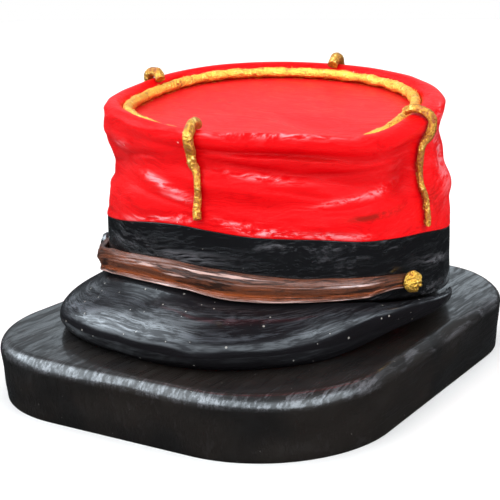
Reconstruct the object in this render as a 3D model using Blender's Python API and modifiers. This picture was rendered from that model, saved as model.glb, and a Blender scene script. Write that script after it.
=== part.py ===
"""A kepi cap resting on its display plinth, as hollow cloth and leather walls at wearable size.

Metres, +Z up. The origin is the middle of the plinth's underside and the cap faces -Y.
An angle round the cap is counted from its front, and grows towards +X.
"""

import math

import bmesh
import bpy
from mathutils import Vector

MM = 0.001

# Plinth
PLINTH_WIDTH = 218 * MM
PLINTH_DEPTH = 255 * MM
PLINTH_HEIGHT = 31 * MM
PLINTH_CORNER = 67 * MM
PLINTH_CHAMFER = 3.6 * MM
PLINTH_DRAFT = 2 * MM
PLINTH_CORNER_STEPS = 9

# Where the cap stands on the plinth, and how far its front is raised by the peak
CAP_X = 4 * MM
CAP_Y = 16.5 * MM
SIT_TILT = math.radians(8)

# Band, an oval tube round the head
BAND_WIDTH = 182 * MM
BAND_LENGTH = 191 * MM
BAND_HEIGHT = 34 * MM
BAND_WALL = 3 * MM
BAND_EDGE_ROUND = 4 * MM

# Crown: its rim's oval, its height over the plinth's top and how its top leans
CROWN_TOP_WIDTH = 177.8 * MM
CROWN_TOP_LENGTH = 186.2 * MM
CROWN_TOP_SHIFT = -0.6 * MM
CROWN_HEIGHT = 114.3 * MM
CROWN_RAKE = math.radians(3.5)
CROWN_LEAN = math.radians(4.5)
CROWN_WALL = 2.5 * MM
CROWN_RELIEF = 5 * MM
FOOT_INSET = 1.4 * MM
RIM_WIDTH = 10.5 * MM
RIM_SHIFT = -1.7 * MM
RIM_ROUND = 4.2 * MM
RIM_DEPTH = 10.5 * MM
DISC_SINK = 7.9 * MM
DISC_DISH = 2.5 * MM
DISC_WALL = 2.5 * MM

# Peak
PEAK_AXIS = math.radians(-9.5)
PEAK_HALF_SPAN = math.radians(118)
PEAK_REACH = 31 * MM
PEAK_EDGE = 3.5 * MM
PEAK_TUCK = 5 * MM
PEAK_WALL = 3 * MM

# Chin strap and its buttons
STRAP_LEFT = math.radians(-66)
STRAP_RIGHT = math.radians(74)
STRAP_WIDTH = 14 * MM
STRAP_THICKNESS = 3 * MM
STRAP_STAND_OFF = 2 * MM
BUTTON_DIAMETER = 11 * MM
BUTTON_HEIGHT = 5 * MM

# Gold cords
RING_DIAMETER = 6 * MM
RING_DEPTH = 4.6 * MM
BRAID_DIAMETER = 4.2 * MM
BRAID_STEPS = 24

# Fits: between pieces that touch, and under a round cord on a faceted wall
CLEARANCE = 0.3 * MM
CORD_CLEARANCE = 0.5 * MM

# Fineness of the lofted walls
AROUND = 56
SIDE_ROWS = 12
RIM_ROWS = 6
DISC_ROWS = 4
PEAK_STEPS = 40
STRAP_STEPS = 44
TURNED_STEPS = 16

# The band's upper edge, a little wavy: angle in degrees, share of the band's height
BAND_EDGE = (
    (-180, 1.00),
    (-100, 0.98),
    (-62, 0.93),
    (-38, 0.93),
    (-22, 0.955),
    (-8, 1.005),
    (2, 1.01),
    (12, 0.965),
    (25, 0.91),
    (45, 0.905),
    (58, 0.88),
    (70, 0.91),
    (84, 0.965),
    (100, 0.97),
    (180, 1.00),
)

# Where the rim sags: angle in degrees, spread in degrees, millimetres
SAG_ANGLE, SAG_SPREAD, SAG_DROP = range(3)
RIM_SAGS = (
    (-74, 34, 3.9),
    (8, 26, 2.0),
    (66, 23, 6.0),
)

# The crown's bare side: share of its height, share of the relief that it stands out
SIDE_PROFILE = (
    (0.00, 0.00),
    (0.10, 0.30),
    (0.30, -0.10),
    (0.55, -0.42),
    (0.80, -0.10),
    (1.00, 0.00),
)

# Dents and folds of the crown: angle in degrees, share of its height, spread in degrees,
# spread as a share of its height, share of the relief that it goes in, and the share of
# the height that it climbs in a degree
DENT_ANGLE, DENT_HEIGHT, DENT_SPREAD, DENT_TALL, DENT_IN, DENT_CLIMB = range(6)
DENTS = (
    (34, 0.90, 48, 0.07, 0.55, -0.0003),
    (30, 0.70, 34, 0.13, 0.60, -0.001),
    (18, 0.50, 24, 0.12, -0.50, -0.002),
    (36, 0.33, 20, 0.13, 0.40, 0.000),
    (58, 0.24, 22, 0.13, -0.40, 0.004),
    (62, 0.60, 15, 0.14, 0.35, 0.000),
    (79, 0.62, 6, 0.32, 0.55, 0.000),
    (112, 0.80, 20, 0.12, 0.60, 0.000),
    (114, 0.38, 20, 0.14, -0.70, 0.000),
    (-28, 0.64, 17, 0.14, 0.50, 0.002),
    (-18, 0.28, 18, 0.13, -0.25, 0.003),
    (-52, 0.42, 18, 0.17, 0.60, 0.000),
    (-56, 0.82, 16, 0.12, -0.25, 0.000),
    (-56, 0.10, 26, 0.10, 0.30, 0.000),
    (-88, 0.62, 16, 0.15, 0.60, -0.003),
    (-104, 0.32, 18, 0.13, -0.45, 0.002),
    (-136, 0.56, 18, 0.13, 0.70, 0.003),
    (150, 0.66, 16, 0.13, 0.65, -0.003),
    (172, 0.40, 18, 0.12, 0.55, 0.002),
    (-166, 0.74, 14, 0.12, 0.50, 0.000),
)
DENT_FADE = 0.10

# Peak: share of its half span, then shares of the reach, of the section's height that the
# top falls to its ridge, and of the rise from plinth to band that the hem stays up
PEAK_OUT, PEAK_FALL, PEAK_LIFT = range(1, 4)
PEAK_SECTIONS = (
    (0.00, 0.89, 0.46, 0.00),
    (0.17, 0.98, 0.45, 0.00),
    (0.24, 0.96, 0.45, 0.00),
    (0.33, 0.82, 0.44, 0.00),
    (0.395, 0.69, 0.43, 0.00),
    (0.47, 0.49, 0.40, 0.02),
    (0.55, 0.33, 0.31, 0.14),
    (0.63, 0.25, 0.20, 0.31),
    (0.715, 0.21, 0.13, 0.43),
    (0.84, 0.18, 0.12, 0.55),
    (0.93, 0.12, 0.15, 0.69),
    (1.00, 0.04, 0.20, 0.85),
)

# Chin strap: share of its run from the left button, then shares of the band's height at its
# middle, of its width, and of the stand-off
STRAP_UP, STRAP_WIDE, STRAP_OFF = range(1, 4)
STRAP_SECTIONS = (
    (0.00, 0.38, 0.55, 0.00),
    (0.10, 0.24, 0.86, 1.00),
    (0.24, 0.30, 0.94, 0.40),
    (0.36, 0.325, 0.89, 0.00),
    (0.44, 0.32, 0.93, 0.00),
    (0.50, 0.295, 0.92, 0.00),
    (0.545, 0.255, 0.98, 0.00),
    (0.60, 0.22, 1.00, 0.00),
    (0.665, 0.20, 0.93, 0.00),
    (0.74, 0.195, 0.84, 0.00),
    (0.80, 0.21, 0.77, 0.00),
    (0.89, 0.235, 0.72, 0.00),
    (0.92, 0.265, 0.60, 0.00),
    (0.96, 0.295, 0.51, 0.00),
    (1.00, 0.30, 0.50, 0.00),
)

# Upright braids: name, then pairs of share of the crown's height and angle in degrees
BRAIDS = (
    ("braid_front", ((0.10, 9.0), (0.30, 8.6), (0.50, 9.3), (0.62, 8.3), (0.75, 7.2), (0.88, 6.8), (1, 7.2), (2, 5.5))),
    ("braid_right", ((0.07, 84), (0.30, 85.3), (0.42, 84.6), (0.55, 85.6), (0.80, 84.9), (0.90, 88), (1, 89), (2, 90))),
    ("braid_back", ((0.04, 186), (0.30, 188), (0.55, 184), (0.80, 186), (1.0, 188), (2.0, 185))),
    ("braid_left", ((0.04, 268), (0.30, 266), (0.55, 270), (0.80, 267), (1.0, 264), (2.0, 268))),
)

# Colours: red, green, blue, then roughness and metallic
RED = (0.80, 0.012, 0.018, 0.42, 0.0)
BLACK_LEATHER = (0.012, 0.012, 0.014, 0.34, 0.0)
BLACK_WOOD = (0.014, 0.013, 0.013, 0.45, 0.0)
BROWN_LEATHER = (0.16, 0.055, 0.028, 0.40, 0.0)
GOLD = (0.60, 0.34, 0.06, 0.38, 1.0)


def smooth(rows, column, share):
    """Value of a table's column at a share, on a smooth curve through its rows."""
    last = len(rows) - 2
    i = max(j for j in range(last + 1) if j == 0 or rows[j][0] <= share)
    x0, x1 = rows[i][0], rows[i + 1][0]
    y0, y1 = rows[i][column], rows[i + 1][column]
    before = rows[max(i - 1, 0)]
    after = rows[min(i + 2, last + 1)]
    width = x1 - x0
    slope0 = (y1 - before[column]) / (x1 - before[0]) * width
    slope1 = (after[column] - y0) / (after[0] - x0) * width
    t = min(max((share - x0) / width, 0.0), 1.0)
    return (
        y0 * (2 * t**3 - 3 * t**2 + 1)
        + slope0 * (t**3 - 2 * t**2 + t)
        + y1 * (3 * t**2 - 2 * t**3)
        + slope1 * (t**3 - t**2)
    )


def outward(angle):
    """Level direction away from the cap's middle."""
    return Vector((math.sin(angle), -math.cos(angle), 0.0))


def oval(angle, width, length, out=0.0):
    """Point of an oval round the cap's middle, moved outwards, at no height."""
    x = CAP_X + (width / 2 + out) * math.sin(angle)
    y = CAP_Y - (length / 2 + out) * math.cos(angle)
    return Vector((x, y, 0.0))


def band_top(angle):
    """Height of the band's wavy upper edge over its lower one."""
    turn = (math.degrees(angle) + 180) % 360 - 180
    return BAND_HEIGHT * smooth(BAND_EDGE, 1, turn)


def band_point(angle, up, out=0.0):
    """Point at a height over the band's tilted lower edge, outside the band's face."""
    point = oval(angle, BAND_WIDTH, BAND_LENGTH, out)
    fall = BAND_LENGTH / 2 * (1 + math.cos(angle)) * math.tan(SIT_TILT)
    point.z = PLINTH_HEIGHT + CLEARANCE + fall + up
    return point


def crest_normal():
    """Direction square to the crown's leaning top."""
    return Vector((math.tan(CROWN_LEAN), -math.tan(CROWN_RAKE), 1.0)).normalized()


def top_point(angle, inset, depth):
    """Point inside the crown's rim oval and below the plane of its crest."""
    point = oval(angle, CROWN_TOP_WIDTH, CROWN_TOP_LENGTH, -inset)
    rise = (point.y - CAP_Y) * math.tan(CROWN_RAKE) - (point.x - CAP_X) * math.tan(CROWN_LEAN)
    for row in RIM_SAGS:
        turn = (math.degrees(angle) - row[SAG_ANGLE] + 180) % 360 - 180
        rise -= row[SAG_DROP] * MM * math.exp(-((turn / row[SAG_SPREAD]) ** 2))
    point.x += CROWN_TOP_SHIFT + RIM_SHIFT * min(inset / RIM_WIDTH, 1.0)
    point.z = PLINTH_HEIGHT + CROWN_HEIGHT + rise
    return point - crest_normal() * depth


def dent_depth(angle, height):
    """How far the dents and folds push the crown's side in."""
    total = 0.0
    for row in DENTS:
        turn = (math.degrees(angle) - row[DENT_ANGLE] + 180) % 360 - 180
        level = height - row[DENT_HEIGHT] - row[DENT_CLIMB] * turn
        total += row[DENT_IN] * math.exp(
            -((turn / row[DENT_SPREAD]) ** 2) - (level / row[DENT_TALL]) ** 2
        )
    fade = min(1.0, height / DENT_FADE, (1 - height) / DENT_FADE)
    return CROWN_RELIEF * total * max(fade, 0.0)


def crown_point(angle, course):
    """Point of the crown's outer face: course 0 to 1 climbs the side, 1 to 2 goes over
    the rim and 2 to 3 down the rim's inner wall."""
    if course <= 1:
        foot = band_point(angle, band_top(angle) + CLEARANCE, -FOOT_INSET)
        out = CROWN_RELIEF * smooth(SIDE_PROFILE, 1, course) - dent_depth(angle, course)
        return foot.lerp(top_point(angle, 0.0, RIM_ROUND), course) + outward(angle) * out
    if course <= 2:
        turn = math.pi * (course - 1)
        inset = RIM_WIDTH / 2 * (1 - math.cos(turn))
        return top_point(angle, inset, RIM_ROUND * (1 - math.sin(turn)))
    return top_point(angle, RIM_WIDTH, RIM_ROUND + (RIM_DEPTH - RIM_ROUND) * (course - 2))


def crown_normal(angle, course):
    """Direction square to the crown's outer face."""
    step = 0.01
    round_it = crown_point(angle + step, course) - crown_point(angle - step, course)
    low, high = max(course - step, 0.0), min(course + step, 3.0)
    up_it = crown_point(angle, high) - crown_point(angle, low)
    return round_it.cross(up_it).normalized()


def peak_point(span, course):
    """Point of the peak's outer face: span -1 to 1 from the left tail to the right one,
    course 0 to 5 from the root over the ridge and the edge to the hem."""
    angle = PEAK_AXIS + PEAK_HALF_SPAN * span
    share = abs(span)
    out = smooth(PEAK_SECTIONS, PEAK_OUT, share)
    root = band_point(angle, -CLEARANCE)
    floor = PLINTH_HEIGHT + CLEARANCE
    hem = floor + (root.z - floor) * max(smooth(PEAK_SECTIONS, PEAK_LIFT, share), 0.0)
    tall = root.z - hem
    reach = PEAK_REACH * out
    ridge = reach - PEAK_EDGE * out
    fall = smooth(PEAK_SECTIONS, PEAK_FALL, share)
    corners = (
        (0, -0.02 * reach, 0.0),
        (1, 0.5 * ridge, 0.34 * fall),
        (2, ridge, fall),
        (3, reach, fall + 0.42 * (1 - fall)),
        (4, reach - 0.3 * PEAK_TUCK * out, fall + 0.78 * (1 - fall)),
        (5, reach - PEAK_TUCK * out, 1.0),
    )
    point = band_point(angle, -CLEARANCE, smooth(corners, 1, course))
    point.z = root.z - tall * smooth(corners, 2, course)
    return point


def strap_point(run, across, out):
    """Point of the chin strap: run 0 to 1 from the left button to the right one, across
    -1 to 1 from its lower edge to its upper one."""
    angle = STRAP_LEFT + (STRAP_RIGHT - STRAP_LEFT) * run
    middle = BAND_HEIGHT * smooth(STRAP_SECTIONS, STRAP_UP, run)
    half = STRAP_WIDTH / 2 * smooth(STRAP_SECTIONS, STRAP_WIDE, run)
    off = STRAP_STAND_OFF * max(smooth(STRAP_SECTIONS, STRAP_OFF, run), 0.0)
    return band_point(angle, middle + across * half, CLEARANCE + off + out)


def material(name, finish):
    """Principled material of one colour, roughness and metallic value."""
    made = bpy.data.materials.new(name)
    made.use_nodes = True
    shader = made.node_tree.nodes["Principled BSDF"]
    shader.inputs["Base Color"].default_value = (*finish[:3], 1.0)
    shader.inputs["Roughness"].default_value = finish[3]
    shader.inputs["Metallic"].default_value = finish[4]
    return made


def grid_mesh(name, rows, closed_round):
    """Mesh of quads between rows of points, facing away from the left-hand side of a row
    that is read with the next row above it."""
    form = bmesh.new()
    made = [[form.verts.new(point) for point in row] for row in rows]
    count = len(rows[0])
    for low, high in zip(made, made[1:]):
        for i in range(count if closed_round else count - 1):
            j = (i + 1) % count
            form.faces.new((low[i], low[j], high[j], high[i]))
    mesh = bpy.data.meshes.new(name)
    form.to_mesh(mesh)
    form.free()
    return mesh


def add_piece(name, data, finish, collection):
    """Links an object with its own material, shaded smooth apart from sharp corners."""
    piece = bpy.data.objects.new(name, data)
    collection.objects.link(piece)
    data.materials.append(material(name, finish))
    if isinstance(data, bpy.types.Mesh):
        data.shade_smooth()
        data.set_sharp_from_angle(angle=math.radians(40))
    return piece


def thicken(piece, wall):
    """Gives an open surface its wall, behind the face that it has."""
    solid = piece.modifiers.new("wall", "SOLIDIFY")
    solid.thickness = wall
    solid.offset = -1
    solid.use_even_offset = True
    return piece


def full_turn():
    """Angles of the lofted walls, the same for all so that their facets lie side by side."""
    return [math.tau * i / AROUND for i in range(AROUND)]


def rounded_outline(inset, height):
    """Plinth's outline at a height, drawn in by an inset."""
    half_x = PLINTH_WIDTH / 2 - PLINTH_CORNER
    half_y = PLINTH_DEPTH / 2 - PLINTH_CORNER
    radius = PLINTH_CORNER - inset
    outline = []
    for corner, (side_x, side_y) in enumerate(((1, 1), (-1, 1), (-1, -1), (1, -1))):
        for i in range(PLINTH_CORNER_STEPS + 1):
            turn = math.pi / 2 * (corner + i / PLINTH_CORNER_STEPS)
            x = side_x * half_x + radius * math.cos(turn)
            y = side_y * half_y + radius * math.sin(turn)
            outline.append(Vector((x, y, height)))
    return outline


def make_plinth(collection):
    """Slab with round corners, a little narrower below, chamfered round its top."""
    rows = [
        rounded_outline(PLINTH_DRAFT, 0.0),
        rounded_outline(0.0, PLINTH_HEIGHT - PLINTH_CHAMFER),
        rounded_outline(PLINTH_CHAMFER, PLINTH_HEIGHT),
    ]
    mesh = grid_mesh("plinth", rows, True)
    form = bmesh.new()
    form.from_mesh(mesh)
    bmesh.ops.holes_fill(form, edges=[edge for edge in form.edges if edge.is_boundary])
    bmesh.ops.recalc_face_normals(form, faces=form.faces)
    form.to_mesh(mesh)
    form.free()
    return add_piece("plinth", mesh, BLACK_WOOD, collection)


def make_band(collection):
    """Upright oval tube whose lower edge is drawn in."""
    rows = []
    for up, tuck in ((0.0, 0.55), (0.3, 0.14), (1.0, 0.0)):
        rows.append([band_point(a, up * BAND_EDGE_ROUND, -tuck * BAND_EDGE_ROUND) for a in full_turn()])
    for share in (0.5, 1.0):
        rows.append([band_point(a, share * band_top(a)) for a in full_turn()])
    piece = add_piece("band", grid_mesh("band", rows, True), BLACK_LEATHER, collection)
    return thicken(piece, BAND_WALL)


def make_crown_side(collection):
    """Cloth side of the crown with its dents, turned in over the rim and down to the disc."""
    courses = [i / SIDE_ROWS for i in range(SIDE_ROWS + 1)]
    courses += [1 + (i + 1) / RIM_ROWS for i in range(RIM_ROWS)] + [3.0]
    rows = [[crown_point(angle, course) for angle in full_turn()] for course in courses]
    piece = add_piece("crown_side", grid_mesh("crown_side", rows, True), RED, collection)
    return thicken(piece, CROWN_WALL)


def disc_point(angle, share):
    """Point of the crown's dished top, from its middle to its edge."""
    edge = top_point(angle, RIM_WIDTH + CLEARANCE, DISC_SINK)
    middle = (top_point(0.0, RIM_WIDTH, DISC_SINK) + top_point(math.pi, RIM_WIDTH, DISC_SINK)) / 2
    return middle.lerp(edge, share) - crest_normal() * DISC_DISH * (1 - share**2)


def make_crown_top(collection):
    """Cloth disc set inside the rim, a little dished."""
    shares = [1 - i / DISC_ROWS for i in range(DISC_ROWS)]
    rows = [[disc_point(angle, share) for angle in full_turn()] for share in shares]
    mesh = grid_mesh("crown_top", rows, True)
    form = bmesh.new()
    form.from_mesh(mesh)
    inner = sorted(form.verts, key=lambda vert: vert.index)[-AROUND:]
    middle = form.verts.new(disc_point(0.0, 0.0))
    for i, vert in enumerate(inner):
        form.faces.new((vert, inner[(i + 1) % AROUND], middle))
    form.to_mesh(mesh)
    form.free()
    piece = add_piece("crown_top", mesh, RED, collection)
    return thicken(piece, DISC_WALL)


def make_peak(collection):
    """Moulded leather peak: it slopes out from under the band, and its edge turns down to the plinth."""
    spans = [2 * i / PEAK_STEPS - 1 for i in range(PEAK_STEPS + 1)]
    courses = [5 - i / 2 for i in range(11)]
    rows = [[peak_point(span, course) for span in spans] for course in courses]
    piece = add_piece("peak", grid_mesh("peak", rows, False), BLACK_LEATHER, collection)
    return thicken(piece, PEAK_WALL)


def make_strap(collection):
    """Leather strap across the front of the band, from button to button."""
    runs = [i / STRAP_STEPS for i in range(STRAP_STEPS + 1)]
    rows = [[strap_point(run, across, STRAP_THICKNESS) for run in runs] for across in (-1, 0, 1)]
    piece = add_piece("chin_strap", grid_mesh("chin_strap", rows, False), BROWN_LEATHER, collection)
    return thicken(piece, STRAP_THICKNESS)


def make_button(name, run, finish, collection):
    """Domed button, turned about its own axis, on the end of the strap."""
    radius = BUTTON_DIAMETER / 2
    profile = [Vector((0.0, 0.0, BUTTON_HEIGHT))]
    for i in range(1, 6):
        turn = math.pi / 2 * i / 5
        profile.append(Vector((radius * math.sin(turn), 0.0, BUTTON_HEIGHT * (0.25 + 0.75 * math.cos(turn)))))
    profile += [Vector((0.9 * radius, 0.0, 0.0)), Vector((0.0, 0.0, 0.0))]
    form = bmesh.new()
    verts = [form.verts.new(point) for point in profile]
    for low, high in zip(verts, verts[1:]):
        form.edges.new((low, high))
    mesh = bpy.data.meshes.new(name)
    form.to_mesh(mesh)
    form.free()
    piece = add_piece(name, mesh, finish, collection)
    screw = piece.modifiers.new("turn", "SCREW")
    screw.axis = "Z"
    screw.steps = TURNED_STEPS
    screw.render_steps = TURNED_STEPS
    screw.use_merge_vertices = True
    screw.merge_threshold = 0.00001
    piece.location = strap_point(run, 0.0, STRAP_THICKNESS)
    step = 0.02
    near, far = max(run - step, 0.0), min(run + step, 1.0)
    along = strap_point(far, 0.0, 0.0) - strap_point(near, 0.0, 0.0)
    square = along.cross(Vector((0.0, 0.0, 1.0))).normalized()
    piece.location += square * CLEARANCE
    piece.rotation_euler = square.to_track_quat("Z", "Y").to_euler()
    return piece


def make_cord(name, points, diameter, closed_round, collection):
    """Round cord along its points, with filled ends."""
    curve = bpy.data.curves.new(name, "CURVE")
    curve.dimensions = "3D"
    curve.bevel_depth = diameter / 2
    curve.bevel_resolution = 2
    curve.use_fill_caps = not closed_round
    spline = curve.splines.new("POLY")
    spline.points.add(len(points) - 1)
    for knot, point in zip(spline.points, points):
        knot.co = (*point, 1.0)
    spline.use_cyclic_u = closed_round
    spline.use_smooth = True
    return add_piece(name, curve, GOLD, collection)


def ring_point(angle):
    """Point of the ring cord's middle line, in the corner of rim and disc."""
    return top_point(angle, RIM_WIDTH + CLEARANCE + RING_DIAMETER / 2, RING_DEPTH)


def braid_point(swing, course):
    """Point of an upright braid's middle line, standing on the crown's face."""
    angle = math.radians(smooth(swing, 1, course))
    stand = CORD_CLEARANCE + BRAID_DIAMETER / 2
    return crown_point(angle, course) + crown_normal(angle, course) * stand


def make_braid(name, swing, collection):
    """Cord from just over the band, up the crown's side and over the rim to the ring."""
    room = (BRAID_DIAMETER + RING_DIAMETER) / 2 + CLEARANCE
    end = 2.0
    while (braid_point(swing, end) - ring_point(math.radians(smooth(swing, 1, end)))).length < room:
        end -= 0.01
    side = BRAID_STEPS * 2 // 3
    over = BRAID_STEPS - side
    start = swing[0][0]
    courses = [start + (1 - start) * i / side for i in range(side)]
    courses += [1 + (end - 1) * i / over for i in range(over + 1)]
    points = [braid_point(swing, course) for course in courses]
    return make_cord(name, points, BRAID_DIAMETER, False, collection)


def main():
    """Clears the scene and builds the cap and its plinth."""
    for old in list(bpy.data.objects):
        bpy.data.objects.remove(old)
    collection = bpy.data.collections.new("kepi_cap")
    bpy.context.scene.collection.children.link(collection)
    make_plinth(collection)
    make_band(collection)
    make_crown_side(collection)
    make_crown_top(collection)
    make_peak(collection)
    make_strap(collection)
    make_button("button_right", 1.0, GOLD, collection)
    make_button("button_left", 0.0, BLACK_LEATHER, collection)
    make_cord("braid_ring", [ring_point(a) for a in full_turn()], RING_DIAMETER, True, collection)
    for name, swing in BRAIDS:
        make_braid(name, swing, collection)


main()
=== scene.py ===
"""A red kepi cap on its black display plinth: the finished surfaces, in a pale studio.

Metres, +Z up. The cap faces -Y, and an angle round it is counted from its front and grows
towards +X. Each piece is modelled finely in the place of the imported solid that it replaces.
"""

import logging
import math
from dataclasses import dataclass, field
from enum import Enum

import bmesh
import bpy
import numpy as np
from mathutils import Matrix, Vector


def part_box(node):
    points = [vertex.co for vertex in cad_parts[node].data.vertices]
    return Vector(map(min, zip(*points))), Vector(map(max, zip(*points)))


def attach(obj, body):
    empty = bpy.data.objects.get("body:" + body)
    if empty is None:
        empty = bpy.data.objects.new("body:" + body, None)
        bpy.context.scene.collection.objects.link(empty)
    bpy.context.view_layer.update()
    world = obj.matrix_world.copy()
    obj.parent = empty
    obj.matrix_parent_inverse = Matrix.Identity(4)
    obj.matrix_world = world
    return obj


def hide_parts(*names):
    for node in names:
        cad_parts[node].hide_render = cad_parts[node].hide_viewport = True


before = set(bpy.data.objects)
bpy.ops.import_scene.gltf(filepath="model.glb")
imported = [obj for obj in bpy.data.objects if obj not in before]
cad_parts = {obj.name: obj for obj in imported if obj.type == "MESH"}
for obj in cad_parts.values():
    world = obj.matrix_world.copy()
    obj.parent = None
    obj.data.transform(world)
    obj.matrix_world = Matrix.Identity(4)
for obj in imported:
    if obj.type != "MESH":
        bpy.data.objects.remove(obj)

MM = 0.001
BODY = "root"

Colour = tuple[float, float, float]
Grid = np.ndarray
Socket = bpy.types.NodeSocket
log = logging.getLogger("kepi")


class Gilt(Enum):
    """How much of its gold a gilded piece has kept."""

    BRIGHT = 0.66
    WORN = 0.52


def hermite(start: Grid, end: Grid, slope0: Grid, slope1: Grid, t: Grid) -> Grid:
    """Value at t, from 0 to 1, of a curve with a slope at its start and at its end."""
    rise = 3 * t**2 - 2 * t**3
    return start * (1 - rise) + end * rise + slope0 * (t**3 - 2 * t**2 + t) + slope1 * (t**3 - t**2)


def smooth(rows: tuple, column: int, share: Grid) -> Grid:
    """Reads a column of a table at shares, on a smooth curve through its rows.

    Args:
        rows: Rows of numbers that start with the share they stand at.
        column: The column that is read.
        share: The shares to read it at.

    Returns:
        The values, in the shape of share.
    """
    table = np.asarray(rows, dtype=float)
    x, y = table[:, 0], table[:, column]
    share = np.asarray(share, dtype=float)
    last = len(x) - 2
    i = np.clip(np.searchsorted(x, share, side="right") - 1, 0, last)
    before, after = np.maximum(i - 1, 0), np.minimum(i + 2, last + 1)
    width = x[i + 1] - x[i]
    slope0 = (y[i + 1] - y[before]) / (x[i + 1] - x[before]) * width
    slope1 = (y[after] - y[i]) / (x[after] - x[i]) * width
    return hermite(y[i], y[i + 1], slope0, slope1, np.clip((share - x[i]) / width, 0.0, 1.0))


def along_corners(corners: tuple, which: int, course: Grid) -> Grid:
    """Reads grids that stand at whole numbers of a course, on a smooth curve through them.

    Args:
        corners: For each whole number its grids.
        which: The grid of each corner that is read.
        course: The course of each point.

    Returns:
        The values, in the shape of course.
    """
    table = np.stack([corner[which] for corner in corners])
    last = len(corners) - 2
    i = np.clip(np.floor(course).astype(int), 0, last)
    before, after = np.maximum(i - 1, 0), np.minimum(i + 2, last + 1)
    y_before, y0, y1, y_after = (
        np.take_along_axis(table, row[None], axis=0)[0] for row in (before, i, i + 1, after)
    )
    slope0 = (y1 - y_before) / (i + 1 - before)
    slope1 = (y_after - y0) / (after - i)
    return hermite(y0, y1, slope0, slope1, np.clip(course - i, 0.0, 1.0))


def hump(offset: Grid, spread: float) -> Grid:
    """Bell curve of height one, with a spread in the offset's own unit."""
    return np.exp(-((offset / spread) ** 2))


def full_turn(count: int) -> Grid:
    """Angles of points that are spaced evenly round a full turn."""
    return np.arange(count) / count * math.tau


def turn_from(angle: Grid, degrees: float) -> Grid:
    """Shortest turn, in degrees, from a direction round the cap to each angle."""
    return (np.degrees(angle) - degrees + 180) % 360 - 180


def patches(rows: tuple, angle: Grid, course: Grid) -> Grid:
    """Adds up soft oblong patches that lie round the cap.

    Args:
        rows: For each its angle in degrees, its course, its spread in degrees and of the course,
            its strength, and how far its course climbs in a degree.
        angle: Angle of each point.
        course: Course of each point.

    Returns:
        The strength of all the patches together at each point.
    """
    total = np.zeros(np.broadcast(angle, course).shape)
    for degrees, level, spread, tall, strength, climb in rows:
        turn = turn_from(angle, degrees)
        total += strength * hump(turn, spread) * hump(course - level - climb * turn, tall)
    return total


@dataclass(frozen=True)
class Ripple:
    """Uneven relief between about -1 and 1, as of a hand-worked surface.

    It has between the fewest and the most of whole waves round u, so a ring closes, and of half
    waves across v. The seed fixes its pattern.
    """

    waves_u: tuple[int, int]
    waves_v: tuple[int, int]
    seed: int
    count: int = 14

    def at(self, u: Grid, v: Grid) -> Grid:
        """Reads the relief.

        Args:
            u: Angle in radians, or a run that may close on itself after one full turn.
            v: Position across u, from 0 to 1.

        Returns:
            The relief at each point.
        """
        picked = np.random.default_rng(self.seed)
        total = np.zeros(np.broadcast(u, v).shape)
        for _ in range(self.count):
            across = picked.uniform(*self.waves_v) * picked.choice((-1, 1))
            around = picked.integers(self.waves_u[0], self.waves_u[1] + 1)
            total += np.sin(around * u + math.pi * across * v + picked.uniform(0, math.tau))
        return total / math.sqrt(self.count)


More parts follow.
